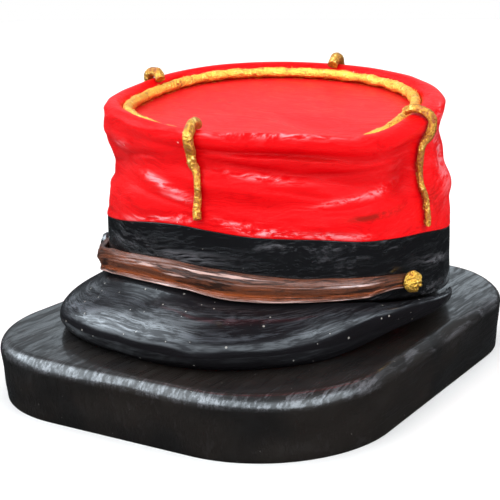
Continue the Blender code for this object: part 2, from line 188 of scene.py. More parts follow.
@dataclass(frozen=True)
class KepiForm:
    """Sizes of the cap that its pieces share, in metres and radians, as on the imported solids."""

    plinth_top: float
    middle: tuple[float, float] = (4 * MM, 16.5 * MM)
    tilt: float = math.radians(8)
    band_width: float = 182 * MM
    band_length: float = 191 * MM
    band_height: float = 34 * MM
    band_edge_round: float = 4 * MM
    top_width: float = 177.8 * MM
    top_length: float = 186.2 * MM
    top_shift: float = -0.6 * MM
    crown_height: float = 114.3 * MM
    rake: float = math.radians(3.5)
    lean: float = math.radians(4.5)
    relief: float = 5 * MM
    foot_inset: float = 1.4 * MM
    rim_width: float = 10.5 * MM
    rim_shift: float = -1.7 * MM
    rim_round: float = 4.2 * MM
    rim_depth: float = 10.5 * MM
    disc_sink: float = 7.9 * MM
    disc_dish: float = 2.5 * MM
    peak_axis: float = math.radians(-9.5)
    peak_half_span: float = math.radians(118)
    peak_reach: float = 31 * MM
    peak_edge: float = 3.5 * MM
    peak_tuck: float = 5 * MM
    strap_left: float = math.radians(-66)
    strap_right: float = math.radians(74)
    strap_width: float = 14 * MM
    strap_thickness: float = 3 * MM
    strap_stand_off: float = 2 * MM
    ring_diameter: float = 6 * MM
    ring_depth: float = 4.6 * MM
    braid_diameter: float = 4.2 * MM
    clearance: float = 0.3 * MM
    cord_clearance: float = 0.5 * MM
    # Angle in degrees, share of the band's height
    band_edge: tuple = (
        (-180, 1.00),
        (-100, 0.98),
        (-62, 0.93),
        (-38, 0.93),
        (-22, 0.955),
        (-8, 1.005),
        (2, 1.01),
        (12, 0.965),
        (25, 0.91),
        (45, 0.905),
        (58, 0.88),
        (70, 0.91),
        (84, 0.965),
        (100, 0.97),
        (180, 1.00),
    )
    # Where the rim sags: angle in degrees, spread in degrees, millimetres
    rim_sags: tuple = ((-74, 34, 3.9), (8, 26, 2.0), (66, 23, 6.0))
    # The crown's bare side: share of its height, share of the relief that it stands out
    side_profile: tuple = (
        (0.00, 0.00),
        (0.10, 0.30),
        (0.30, -0.10),
        (0.55, -0.42),
        (0.80, -0.10),
        (1.00, 0.00),
    )
    # Dents and folds: angle in degrees, share of the height, spread in degrees and as a share
    # of the height, share of the relief that it goes in, share of the height climbed in a degree
    dents: tuple = (
        (34, 0.90, 48, 0.07, 0.55, -0.0003),
        (30, 0.70, 34, 0.13, 0.60, -0.001),
        (18, 0.50, 24, 0.12, -0.50, -0.002),
        (36, 0.33, 20, 0.13, 0.40, 0.000),
        (58, 0.24, 22, 0.13, -0.40, 0.004),
        (62, 0.60, 15, 0.14, 0.35, 0.000),
        (79, 0.62, 6, 0.32, 0.55, 0.000),
        (112, 0.80, 20, 0.12, 0.60, 0.000),
        (114, 0.38, 20, 0.14, -0.70, 0.000),
        (-28, 0.64, 17, 0.14, 0.50, 0.002),
        (-18, 0.28, 18, 0.13, -0.25, 0.003),
        (-52, 0.42, 18, 0.17, 0.60, 0.000),
        (-56, 0.82, 16, 0.12, -0.25, 0.000),
        (-56, 0.10, 26, 0.10, 0.30, 0.000),
        (-88, 0.62, 16, 0.15, 0.60, -0.003),
        (-104, 0.32, 18, 0.13, -0.45, 0.002),
        (-136, 0.56, 18, 0.13, 0.70, 0.003),
        (150, 0.66, 16, 0.13, 0.65, -0.003),
        (172, 0.40, 18, 0.12, 0.55, 0.002),
        (-166, 0.74, 14, 0.12, 0.50, 0.000),
    )
    dent_fade: float = 0.10
    # Share of the peak's half span, then shares of its reach, of the section's height that the
    # top falls to its ridge, and of the rise from plinth to band that the hem stays up
    peak_sections: tuple = (
        (0.00, 0.89, 0.46, 0.00),
        (0.17, 0.98, 0.45, 0.00),
        (0.24, 0.96, 0.45, 0.00),
        (0.33, 0.82, 0.44, 0.00),
        (0.395, 0.69, 0.43, 0.00),
        (0.47, 0.49, 0.40, 0.02),
        (0.55, 0.33, 0.31, 0.14),
        (0.63, 0.25, 0.20, 0.31),
        (0.715, 0.21, 0.13, 0.43),
        (0.84, 0.18, 0.12, 0.55),
        (0.93, 0.12, 0.15, 0.69),
        (1.00, 0.04, 0.20, 0.85),
    )
    # Share of the strap's run, then shares of the band's height, of its width and stand-off
    strap_sections: tuple = (
        (0.00, 0.38, 0.55, 0.00),
        (0.10, 0.24, 0.86, 1.00),
        (0.24, 0.30, 0.94, 0.40),
        (0.36, 0.325, 0.89, 0.00),
        (0.44, 0.32, 0.93, 0.00),
        (0.50, 0.295, 0.92, 0.00),
        (0.545, 0.255, 0.98, 0.00),
        (0.60, 0.22, 1.00, 0.00),
        (0.665, 0.20, 0.93, 0.00),
        (0.74, 0.195, 0.84, 0.00),
        (0.80, 0.21, 0.77, 0.00),
        (0.89, 0.235, 0.72, 0.00),
        (0.92, 0.265, 0.60, 0.00),
        (0.96, 0.295, 0.51, 0.00),
        (1.00, 0.30, 0.50, 0.00),
    )

    def outward(self, angle: Grid) -> Grid:
        """Level direction away from the cap's middle."""
        return np.stack([np.sin(angle), -np.cos(angle), np.zeros_like(angle)], axis=-1)

    def oval(self, angle: Grid, width: float, length: float, out: Grid) -> Grid:
        """Points of an oval round the cap's middle, at no height.

        Args:
            angle: Angle of each point.
            width: Width of the oval.
            length: Length of the oval.
            out: How far each point stands out from it.

        Returns:
            The points.
        """
        x = self.middle[0] + (width / 2 + out) * np.sin(angle)
        y = self.middle[1] - (length / 2 + out) * np.cos(angle)
        return np.stack([x, y, np.zeros_like(x)], axis=-1)

    def band_top(self, angle: Grid) -> Grid:
        """Height of the band's wavy upper edge over its lower one."""
        return self.band_height * smooth(self.band_edge, 1, turn_from(angle, 0.0))

    def band_point(self, angle: Grid, up: Grid, out: Grid = 0.0) -> Grid:
        """Points over the band's tilted lower edge.

        Args:
            angle: Angle of each point.
            up: Its height over the edge.
            out: How far it stands out from the band's face.

        Returns:
            The points.
        """
        angle, up, out = np.broadcast_arrays(angle, up, out)
        points = self.oval(angle, self.band_width, self.band_length, out)
        fall = self.band_length / 2 * (1 + np.cos(angle)) * math.tan(self.tilt)
        points[..., 2] = self.plinth_top + self.clearance + fall + up
        return points

    def crest_normal(self) -> Grid:
        """Direction square to the crown's leaning top."""
        square = np.array([math.tan(self.lean), -math.tan(self.rake), 1.0])
        return square / np.linalg.norm(square)

    def top_point(self, angle: Grid, inset: Grid, depth: Grid) -> Grid:
        """Points of the crown's top.

        Args:
            angle: Angle of each point.
            inset: How far it lies inside the rim's oval.
            depth: How far it lies below the plane of the crest.

        Returns:
            The points.
        """
        angle, inset, depth = np.broadcast_arrays(angle, inset, depth)
        points = self.oval(angle, self.top_width, self.top_length, -inset)
        rise = (points[..., 1] - self.middle[1]) * math.tan(self.rake)
        rise = rise - (points[..., 0] - self.middle[0]) * math.tan(self.lean)
        for degrees, spread, drop in self.rim_sags:
            rise = rise - drop * MM * hump(turn_from(angle, degrees), spread)
        points[..., 0] += self.top_shift + self.rim_shift * np.minimum(inset / self.rim_width, 1.0)
        points[..., 2] = self.plinth_top + self.crown_height + rise
        return points - self.crest_normal() * depth[..., None]

    def dent_depth(self, angle: Grid, height: Grid) -> Grid:
        """How far the dents and folds push the crown's side in."""
        fade = np.minimum(1.0, np.minimum(height, 1 - height) / self.dent_fade)
        return self.relief * patches(self.dents, angle, height) * np.maximum(fade, 0.0)

    def crown_point(self, angle: Grid, course: Grid) -> Grid:
        """Points of the crown's outer face.

        Args:
            angle: Angle of each point.
            course: Its course. From 0 to 1 it climbs the side, to 2 it goes over the rim, and to
                3 down the rim's inner wall.

        Returns:
            The points.
        """
        angle, course = np.broadcast_arrays(angle, course)
        side = np.clip(course, 0.0, 1.0)
        foot = self.band_point(angle, self.band_top(angle) + self.clearance, -self.foot_inset)
        out = self.relief * smooth(self.side_profile, 1, side) - self.dent_depth(angle, side)
        wall = foot + (self.top_point(angle, 0.0, self.rim_round) - foot) * side[..., None]
        wall += self.outward(angle) * out[..., None]
        turn = math.pi * np.clip(course - 1, 0.0, 1.0)
        inset = self.rim_width / 2 * (1 - np.cos(turn))
        deeper = (self.rim_depth - self.rim_round) * np.clip(course - 2, 0.0, 1.0)
        over = self.top_point(angle, inset, self.rim_round * (1 - np.sin(turn)) + deeper)
        return np.where((course <= 1)[..., None], wall, over)

    def peak_point(self, span: Grid, course: Grid) -> Grid:
        """Points of the peak's outer face.

        Args:
            span: Place of each point from the left tail, -1, to the right one, 1.
            course: Its course from the root, 0, over the ridge and the edge to the hem, 5.

        Returns:
            The points.
        """
        span, course = np.broadcast_arrays(span, course)
        angle = self.peak_axis + self.peak_half_span * span
        share = np.abs(span)
        out = smooth(self.peak_sections, 1, share)
        root = self.band_point(angle, -self.clearance)[..., 2]
        floor = self.plinth_top + self.clearance
        hem = floor + (root - floor) * np.maximum(smooth(self.peak_sections, 3, share), 0.0)
        reach = self.peak_reach * out
        ridge = reach - self.peak_edge * out
        fall = smooth(self.peak_sections, 2, share)
        # How far out each corner of the section stands, and its share of the fall to the hem
        corners = (
            (-0.02 * reach, np.zeros_like(reach)),
            (0.5 * ridge, 0.34 * fall),
            (ridge, fall),
            (reach, fall + 0.42 * (1 - fall)),
            (reach - 0.3 * self.peak_tuck * out, fall + 0.78 * (1 - fall)),
            (reach - self.peak_tuck * out, np.ones_like(reach)),
        )
        points = self.band_point(angle, -self.clearance, along_corners(corners, 0, course))
        points[..., 2] = root - (root - hem) * along_corners(corners, 1, course)
        return points

    def strap_point(self, run: Grid, across: Grid, out: Grid) -> Grid:
        """Points of the chin strap.

        Args:
            run: Place of each point from the left button, 0, to the right one, 1.
            across: Its place from the strap's lower edge, -1, to its upper one, 1.
            out: How far it stands out from the strap's back.

        Returns:
            The points.
        """
        run, across, out = np.broadcast_arrays(run, across, out)
        angle = self.strap_left + (self.strap_right - self.strap_left) * run
        middle = self.band_height * smooth(self.strap_sections, 1, run)
        half = self.strap_width / 2 * smooth(self.strap_sections, 2, run)
        off = self.strap_stand_off * np.maximum(smooth(self.strap_sections, 3, run), 0.0)
        return self.band_point(angle, middle + across * half, self.clearance + off + out)

    def disc_point(self, angle: Grid, share: Grid) -> Grid:
        """Points of the crown's dished top.

        Args:
            angle: Angle of each point.
            share: Its share of the way from the middle to the edge.

        Returns:
            The points.
        """
        angle, share = np.broadcast_arrays(angle, share)
        edge = self.top_point(angle, self.rim_width + self.clearance, self.disc_sink)
        ends = self.top_point(np.array([0.0, math.pi]), self.rim_width, self.disc_sink)
        middle = ends.mean(axis=0)
        dish = self.disc_dish * (1 - share**2)
        return middle + (edge - middle) * share[..., None] - self.crest_normal() * dish[..., None]

    def ring_point(self, angle: Grid) -> Grid:
        """Points of the ring cord's middle line, in the corner of rim and disc."""
        inset = self.rim_width + self.clearance + self.ring_diameter / 2
        return self.top_point(angle, inset, self.ring_depth)


def grid_normals(points: Grid) -> Grid:
    """Unit normals of an open grid of points, on the side that its faces look to."""
    square = np.cross(np.gradient(points, axis=1), np.gradient(points, axis=0))
    return square / np.maximum(np.linalg.norm(square, axis=-1, keepdims=True), 1e-12)


def nearness(points: Grid, line: Grid, radius: float, reach: float) -> Grid:
    """How near points lie to a cord.

    Args:
        points: The points.
        line: Middle line of the cord.
        radius: Radius of the cord.
        reach: How far beside the cord it is still felt.

    Returns:
        For each point 1 beside the cord, down to 0 at the reach.
    """
    flat = points.reshape(-1, 3)
    nearest = np.full(len(flat), 1.0)
    # Block by block, because all the distances at once don't fit in the memory
    size = 4000
    for start in range(0, len(flat), size):
        away = flat[start:start + size, None, :] - line[None, :, :]
        nearest[start:start + size] = np.linalg.norm(away, axis=-1).min(axis=1)
    return np.clip(1 - (nearest - radius) / reach, 0.0, 1.0).reshape(points.shape[:2])


def grid_mesh(name: str, points: Grid, closed: bool, marks: dict[str, Grid],
              sheet: tuple[Grid, Grid] | None = None) -> bpy.types.Mesh:
    """Mesh of quads over a grid of points.

    Args:
        name: Name of the mesh.
        points: Rows of points, lowest row first.
        closed: Whether each row closes on itself.
        marks: Values from 0 to 1 at each point, kept as attributes for the finishes.
        sheet: Distances in metres along and across the sheet, kept as its UV map.

    Returns:
        The mesh.
    """
    rows, columns = points.shape[:2]
    number = np.arange(rows * columns).reshape(rows, columns)
    right = np.roll(number, -1, axis=1) if closed else number[:, 1:]
    left = number if closed else number[:, :-1]
    corners = np.stack([left[:-1], right[:-1], right[1:], left[1:]], axis=-1).reshape(-1, 4)
    mesh = bpy.data.meshes.new(name)
    mesh.from_pydata(points.reshape(-1, 3).tolist(), [], corners.tolist())
    for mark, values in marks.items():
        layer = mesh.attributes.new(mark, "FLOAT", "POINT")
        values = np.broadcast_to(values, (rows, columns)).ravel()
        layer.data.foreach_set("value", values.astype(np.float32))
    if sheet:
        layer = mesh.uv_layers.new(name="sheet")
        flat = np.stack([np.broadcast_to(part, (rows, columns)) for part in sheet], axis=-1).reshape(-1, 2)
        layer.data.foreach_set("uv", flat[corners.ravel()].astype(np.float32).ravel())
    return mesh


def fan(mesh: bpy.types.Mesh, row: range, middle: Grid) -> None:
    """Closes a ring of a mesh's points with triangles to a middle point.

    Args:
        mesh: The mesh.
        row: Numbers of the ring's points, counted so that the faces look outwards.
        middle: Where the triangles meet.
    """
    form = bmesh.new()
    form.from_mesh(mesh)
    form.verts.ensure_lookup_table()
    edge = [form.verts[number] for number in row]
    tip = form.verts.new(middle)
    for corner, after in zip(edge, edge[1:] + edge[:1]):
        form.faces.new((corner, after, tip))
    form.to_mesh(mesh)
    form.free()


def fan_ends(mesh: bpy.types.Mesh, rows: int, count: int, last: Grid, first: Grid) -> None:
    """Closes the last and the first row of a mesh of closed rows.

    Args:
        mesh: The mesh.
        rows: How many rows it has.
        count: How many points a row has.
        last: Where the last row's triangles meet.
        first: Where the first row's triangles meet.
    """
    fan(mesh, range((rows - 1) * count, rows * count), last)
    fan(mesh, range(count)[::-1], first)


def new_object(name: str, data: bpy.types.ID) -> bpy.types.Object:
    """Makes an object at the origin and puts it in the scene.

    Args:
        name: Name of the object.
        data: Its mesh, curve, lamp or camera.

    Returns:
        The object.
    """
    made = bpy.data.objects.new(name, data)
    bpy.context.scene.collection.objects.link(made)
    return made


def plain_copy(piece: bpy.types.Object, name: str) -> bpy.types.Object:
    """Turns an object and its modifiers into a plain mesh object.

    Args:
        piece: The object, which is removed.
        name: Name of the new object.

    Returns:
        The new object, which rides on nothing yet.
    """
    bpy.context.view_layer.update()
    evaluated = piece.evaluated_get(bpy.context.evaluated_depsgraph_get())
    mesh = bpy.data.meshes.new_from_object(evaluated)
    bpy.data.objects.remove(piece)
    mesh.name = name
    return new_object(name, mesh)


class NodeSheet:
    """Short way to add and join the nodes of one tree."""

    def __init__(self, tree: bpy.types.NodeTree) -> None:
        """Takes the tree that is drawn in."""
        self.tree = tree

    def feed(self, socket: Socket, value: object) -> None:
        """Gives a socket its value.

        Args:
            socket: The socket.
            value: Another socket that is joined to it, or a plain value. A colour of three
                numbers becomes opaque.
        """
        if isinstance(value, Socket):
            self.tree.links.new(value, socket)
        elif socket.type == "RGBA" and isinstance(value, tuple) and len(value) == 3:
            socket.default_value = (*value, 1.0)
        else:
            socket.default_value = value

    def add(self, kind: str, fed: dict | None = None, **settings: object) -> bpy.types.Node:
        """Adds a node.

        Args:
            kind: Type of the node.
            fed: What its inputs are fed, by their names or numbers.
            settings: Its properties.

        Returns:
            The node.
        """
        node = self.tree.nodes.new(kind)
        for name, value in settings.items():
            setattr(node, name, value)
        for key, value in (fed or {}).items():
            self.feed(node.inputs[key], value)
        return node

    def math(self, operation: str, a: object, b: object, clamp: bool = False) -> Socket:
        """Result of one sum, product or comparison of two numbers."""
        return self.add("ShaderNodeMath", {0: a, 1: b}, operation=operation, use_clamp=clamp).outputs[0]

    def product(self, first: object, *others: object) -> Socket:
        """Multiplies numbers.

        Args:
            first: The first number.
            others: The numbers that it is multiplied by.

        Returns:
            Their product.
        """
        for other in others:
            first = self.math("MULTIPLY", first, other)
        return first

    def vector(self, operation: str, a: object, b: object) -> Socket:
        """Result of one step with two vectors, or with a vector and its scale.

        Args:
            operation: The step.
            a: The first vector.
            b: The second vector, or the scale.

        Returns:
            The result, which is a number for a dot product.
        """
        second = "Scale" if operation == "SCALE" else 1
        node = self.add("ShaderNodeVectorMath", {0: a, second: b}, operation=operation)
        return node.outputs["Value" if operation == "DOT_PRODUCT" else 0]

    def spread(self, value: object, low: float, high: float, to_low: object = 0.0,
               to_high: object = 1.0) -> Socket:
        """Stretches a range of values to another one, smoothly and within its ends.

        Args:
            value: The value.
            low: Start of its range.
            high: End of its range.
            to_low: What the start becomes.
            to_high: What the end becomes.

        Returns:
            The stretched value.
        """
        fed = dict(enumerate((value, low, high, to_low, to_high)))
        return self.add("ShaderNodeMapRange", fed, interpolation_type="SMOOTHSTEP", clamp=True).outputs[0]

    def blend(self, share: object, a: object, b: object) -> Socket:
        """Colour between two colours."""
        return self.add("ShaderNodeMix", {"Factor": share, 6: a, 7: b}, data_type="RGBA").outputs[2]

    def choose(self, share: object, a: object, b: object) -> Socket:
        """Number between two numbers."""
        return self.add("ShaderNodeMix", {0: share, 2: a, 3: b}, data_type="FLOAT").outputs[0]

    def noise(self, where: object, scale: object, detail: float = 3.0, rough: float = 0.55) -> bpy.types.Node:
        """Noise texture at a position."""
        fed = {"Vector": where, "Scale": scale, "Detail": detail, "Roughness": rough}
        return self.add("ShaderNodeTexNoise", fed)

    def place(self, group: bpy.types.NodeTree, **values: object) -> bpy.types.Node:
        """Places a node group with its own values."""
        fed = {name.replace("_", " "): value for name, value in values.items()}
        return self.add("ShaderNodeGroup", fed, node_tree=group)


class Effects:
    """Shader groups for what several finishes share."""

    # Noise scales and shares of the broad and the fine marks of a brush, and how far they wander
    PATCH_SCALE = 24.0
    BROAD_SCALE, BROAD_SHARE = 0.55, 0.45
    HAIR_SCALE, HAIR_SHARE = 2.1, 0.55
    WANDER_REACH = 6.0
    SPECK_SIZE = 0.26

    def __init__(self) -> None:
        """Builds each group once."""
        self.brush_marks = self.make_brush_marks()
        self.specks = self.make_specks()
        self.patching = self.make_patching()

    def start(self, name: str, inputs: dict[str, float | Colour], outputs: tuple[str, ...]) -> tuple:
        """Makes an empty group with a position among its inputs.

        Args:
            name: Name of the group.
            inputs: The usual value of each other input, by its name.
            outputs: Names of the outputs, all of them numbers.

        Returns:
            The group, its sheet, its input node's outputs and its output node's inputs.
        """
        tree = bpy.data.node_groups.new(name, "ShaderNodeTree")
        face = tree.interface
        face.new_socket(name="Position", in_out="INPUT", socket_type="NodeSocketVector")
        for label, usual in inputs.items():
            kind = "NodeSocketVector" if isinstance(usual, tuple) else "NodeSocketFloat"
            face.new_socket(name=label, in_out="INPUT", socket_type=kind).default_value = usual
        for label in outputs:
            face.new_socket(name=label, in_out="OUTPUT", socket_type="NodeSocketFloat")
        sheet = NodeSheet(tree)
        return tree, sheet, sheet.add("NodeGroupInput").outputs, sheet.add("NodeGroupOutput").inputs

    def make_brush_marks(self) -> bpy.types.NodeTree:
        """Draws long marks of a brush that run where the stretch is small.

        Returns:
            The group, which gives the marks, the height of the paint, and large patches.
        """
        usual = {"Stretch": (40.0, 40.0, 400.0), "Wander": 0.6}
        tree, sheet, given, out = self.start("Brush marks", usual, ("Marks", "Height", "Patches"))
        slow = sheet.noise(given["Position"], self.PATCH_SCALE, 2.0)
        bend = sheet.vector("SUBTRACT", slow.outputs["Color"], (0.5, 0.5, 0.5))
        wide = sheet.vector("SCALE", bend, sheet.product(given["Wander"], self.WANDER_REACH))
        scaled = sheet.vector("MULTIPLY", given["Position"], given["Stretch"])
        bent = sheet.vector("ADD", scaled, wide)
        broad = sheet.noise(bent, self.BROAD_SCALE, 3.0, 0.5).outputs["Fac"]
        hairs = sheet.noise(bent, self.HAIR_SCALE, 4.0, 0.65).outputs["Fac"]
        broad = sheet.product(broad, self.BROAD_SHARE)
        height = sheet.math("ADD", broad, sheet.product(hairs, self.HAIR_SHARE))
        sheet.feed(out["Height"], height)
        sheet.feed(out["Marks"], sheet.spread(height, 0.52, 0.64))
        sheet.feed(out["Patches"], sheet.spread(slow.outputs["Fac"], 0.38, 0.64))
        return tree

    def make_specks(self) -> bpy.types.NodeTree:
        """Scatters small specks of dust and chipped paint.

        Returns:
            The group, which gives 1 on a speck and 0 beside it.
        """
        usual = {"Scale": 260.0, "Amount": 0.5}
        tree, sheet, given, out = self.start("Dust specks", usual, ("Specks",))
        fed = {"Vector": given["Position"], "Scale": given["Scale"]}
        cells = sheet.add("ShaderNodeTexVoronoi", fed).outputs
        chance = sheet.add("ShaderNodeSeparateColor", {0: cells["Color"]}).outputs[0]
        size = sheet.product(sheet.spread(chance, 0.82, 1.0), self.SPECK_SIZE, given["Amount"])
        sheet.feed(out["Specks"], sheet.math("LESS_THAN", cells["Distance"], size))
        return tree

    def make_patching(self) -> bpy.types.NodeTree:
        """Breaks a soft mark up into ragged patches, for smeared gold and for painted highlights.

        Returns:
            The group, which gives the patches.
        """
        usual = {"Mark": 0.0, "Scale": 180.0, "Raggedness": 0.8}
        tree, sheet, given, out = self.start("Ragged wear", usual, ("Patching",))
        rough = sheet.noise(given["Position"], given["Scale"], 4.0, 0.6).outputs["Fac"]
        shaken = sheet.product(sheet.math("SUBTRACT", rough, 0.5), given["Raggedness"], 2.0)
        edge = sheet.math("ADD", given["Mark"], shaken)
        sheet.feed(out["Patching"], sheet.spread(edge, 0.42, 0.62))
        return tree


@dataclass(frozen=True)
class Finish:
    """What every finish starts from."""

    name: str
    base: Colour
    roughness: float
    specular: float

    def material(self, effects: Effects) -> bpy.types.Material:
        """Builds the material.

        Args:
            effects: The shared shader groups.

        Returns:
            The material.
        """
        sheet = MaterialSheet(self)
        self.paint(sheet, effects)
        return sheet.made

    def paint(self, sheet: "MaterialSheet", effects: Effects) -> None:
        """Draws the material on its sheet, which each finish does in its own way."""
        raise NotImplementedError


class MaterialSheet(NodeSheet):
    """Sheet of one material, with its shader and the position in the object at hand."""

    def __init__(self, finish: Finish) -> None:
        """Makes the material.

        Args:
            finish: The finish whose plain values its shader gets.
        """
        self.made = bpy.data.materials.new(finish.name)
        self.made.use_nodes = True
        super().__init__(self.made.node_tree)
        self.shader = self.made.node_tree.nodes["Principled BSDF"]
        self.dress("Base Color", finish.base)
        self.dress("Roughness", finish.roughness)
        self.dress("Specular IOR Level", finish.specular)
        self.position = self.add("ShaderNodeTexCoord").outputs["Object"]

    def dress(self, name: str, value: object) -> None:
        """Feeds one of the shader's inputs."""
        self.feed(self.shader.inputs[name], value)

    def along_sheet(self) -> Socket:
        """Position on the piece's own sheet, along and across it."""
        return self.add("ShaderNodeUVMap", uv_map="sheet").outputs[0]

    def mark(self, name: str) -> Socket:
        """Value of one of the piece's own marks."""
        return self.add("ShaderNodeAttribute", attribute_name=name).outputs["Fac"]

    def raise_by(self, height: Socket, depth: float) -> None:
        """Gives the shader a bump of a depth in metres."""
        bump = self.add("ShaderNodeBump", {"Distance": depth, "Height": height})
        self.dress("Normal", bump.outputs["Normal"])


@dataclass(frozen=True)
class PaintedCloth(Finish):
    """Red cloth under brushed paint, with painted shade in its folds, hollows and beside the cords, painted
    highlights on upward-facing places, and smears of gold beside the cords.
    """

    # The deep and soil reds are painted shade, the shine pink a painted highlight
    shade_red: Colour = (0.46, 0.0, 0.002)
    dry: Colour = (1.0, 0.07, 0.08)
    hollow_shade: Colour = (0.20, 0.010, 0.004)
    gold: Colour = (0.80, 0.42, 0.07)
    chip: Colour = (1.0, 0.60, 0.55)
    highlight_tint: Colour = (1.0, 0.42, 0.47)
    stretch: Colour = (40.0, 40.0, 300.0)
    wander: float = 1.1
    fold_shading: float = 0.8
    dried: float = 0.15
    sunk: float = 0.35
    hollow_shading: float = 0.75
    chipped: float = 0.6
    gloss: float = 0.7
    gloss_roughness: float = 0.20
    relief: float = 1.1 * MM

    def paint(self, sheet: MaterialSheet, effects: Effects) -> None:
        """Draws the material.

        Args:
            sheet: Its sheet.
            effects: The shared shader groups.
        """
        place = sheet.position
        brush = sheet.place(effects.brush_marks, Position=place, Stretch=self.stretch, Wander=self.wander)
        height = brush.outputs["Height"]
        pale = sheet.product(brush.outputs["Marks"], brush.outputs["Patches"], self.dried)
        # Painted shade: darker red in the hollows, where the brush marks are low
        hollow_shading = sheet.product(sheet.mark("hollow_shade"), sheet.spread(height, 0.62, 0.42), self.hollow_shading)
        painted_highlight = sheet.mark("painted_highlight")
        specks = sheet.place(effects.specks, Position=place, Scale=150.0, Amount=0.3)
        # Painted shade: deep red in the folds and beside the cords
        colour = sheet.blend(sheet.product(sheet.mark("crease_shade"), self.fold_shading), self.base, self.shade_red)
        colour = sheet.blend(pale, colour, self.dry)
        # Painted shade: deep red in the low places of the brush marks
        colour = sheet.blend(sheet.spread(height, 0.36, 0.47, self.sunk, 0.0), colour, self.shade_red)
        colour = sheet.blend(hollow_shading, colour, self.hollow_shade)
        # Painted highlight: pale pink streaks on the upward-facing places
        colour = sheet.blend(sheet.product(painted_highlight, sheet.spread(height, 0.46, 0.60)), colour, self.highlight_tint)
        colour = sheet.blend(sheet.product(specks.outputs["Specks"], self.chipped), colour, self.chip)
        smear = sheet.place(
            effects.patching, Position=place, Mark=sheet.mark("gilt"), Scale=380.0, Raggedness=0.6,
        ).outputs["Patching"]
        sheet.dress("Base Color", sheet.blend(smear, colour, self.gold))
        sheet.dress("Metallic", sheet.product(smear, 0.7))
        low, high = self.roughness - 0.08, self.roughness + 0.14
        sheet.dress("Roughness", sheet.spread(height, 0.35, 0.65, low, high))
        sheet.dress("Coat Roughness", self.gloss_roughness)
        glossy = sheet.product(sheet.math("ADD", painted_highlight, 0.10), sheet.spread(height, 0.40, 0.54))
        sheet.dress("Coat Weight", sheet.math("MULTIPLY", glossy, self.gloss, clamp=True))
        sheet.raise_by(height, self.relief)


@dataclass(frozen=True)
class BlackSatin(Finish):
    """Black paint or leather with pale brush marks and dust, and with painted highlights in its streak colour
    on its ridges, rounded edges and listed places.

    Away from the painted highlights its bump is calmer and its gloss duller.
    """

    streak: Colour = (0.13, 0.13, 0.145)
    dusty: Colour = (0.45, 0.43, 0.40)
    mottle: Colour = (0.034, 0.023, 0.016)
    stretch: Colour = (45.0, 45.0, 320.0)
    wander: float = 0.8
    streaks: float = 0.30
    rubbed: float = 0.5
    dust: float = 0.35
    mottled: float = 0.0
    depth: float = 0.24 * MM
    calm: float = 1.0
    dull: float = 1.0
    gloss_roughness: float = 0.16
    follows_sheet: bool = False

    def paint(self, sheet: MaterialSheet, effects: Effects) -> None:
        """Draws the material.

        Args:
            sheet: Its sheet.
            effects: The shared shader groups.
        """
        where = sheet.along_sheet() if self.follows_sheet else sheet.position
        brush = sheet.place(effects.brush_marks, Position=where, Stretch=self.stretch, Wander=self.wander)
        specks = sheet.place(effects.specks, Position=sheet.position, Scale=420.0, Amount=self.dust)
        height = brush.outputs["Height"]
        # The piece's mark holds its painted highlights, which also set the coat and calm the bump
        sheen = sheet.mark("sheen")
        shown = sheet.product(brush.outputs["Marks"], brush.outputs["Patches"], self.streaks)
        # Painted highlight: the streak colour where the mark lies
        edge = sheet.product(sheen, self.rubbed, sheet.spread(height, 0.44, 0.62))
        blotch = sheet.product(brush.outputs["Patches"], self.mottled)
        colour = sheet.blend(sheet.math("ADD", shown, edge, clamp=True), self.base, self.streak)
        colour = sheet.blend(blotch, colour, self.mottle)
        colour = sheet.blend(sheet.product(specks.outputs["Specks"], 0.7), colour, self.dusty)
        sheet.dress("Base Color", colour)
        rough = sheet.spread(height, 0.36, 0.64, self.roughness + 0.16, self.roughness - 0.08)
        sheet.dress("Roughness", sheet.math("SUBTRACT", rough, sheet.product(sheen, 0.06)))
        sheet.dress("Coat Roughness", self.gloss_roughness)
        polish = sheet.spread(height, 0.42, 0.56, 0.25, 1.0)
        sheet.dress("Coat Weight", sheet.product(polish, sheet.spread(sheen, 0.0, 0.5, self.dull, 1.0)))
        calm = sheet.spread(sheen, 0.0, 0.6, self.calm, 1.0)
        sheet.raise_by(sheet.product(sheet.spread(height, 0.46, 0.64), calm), self.depth)


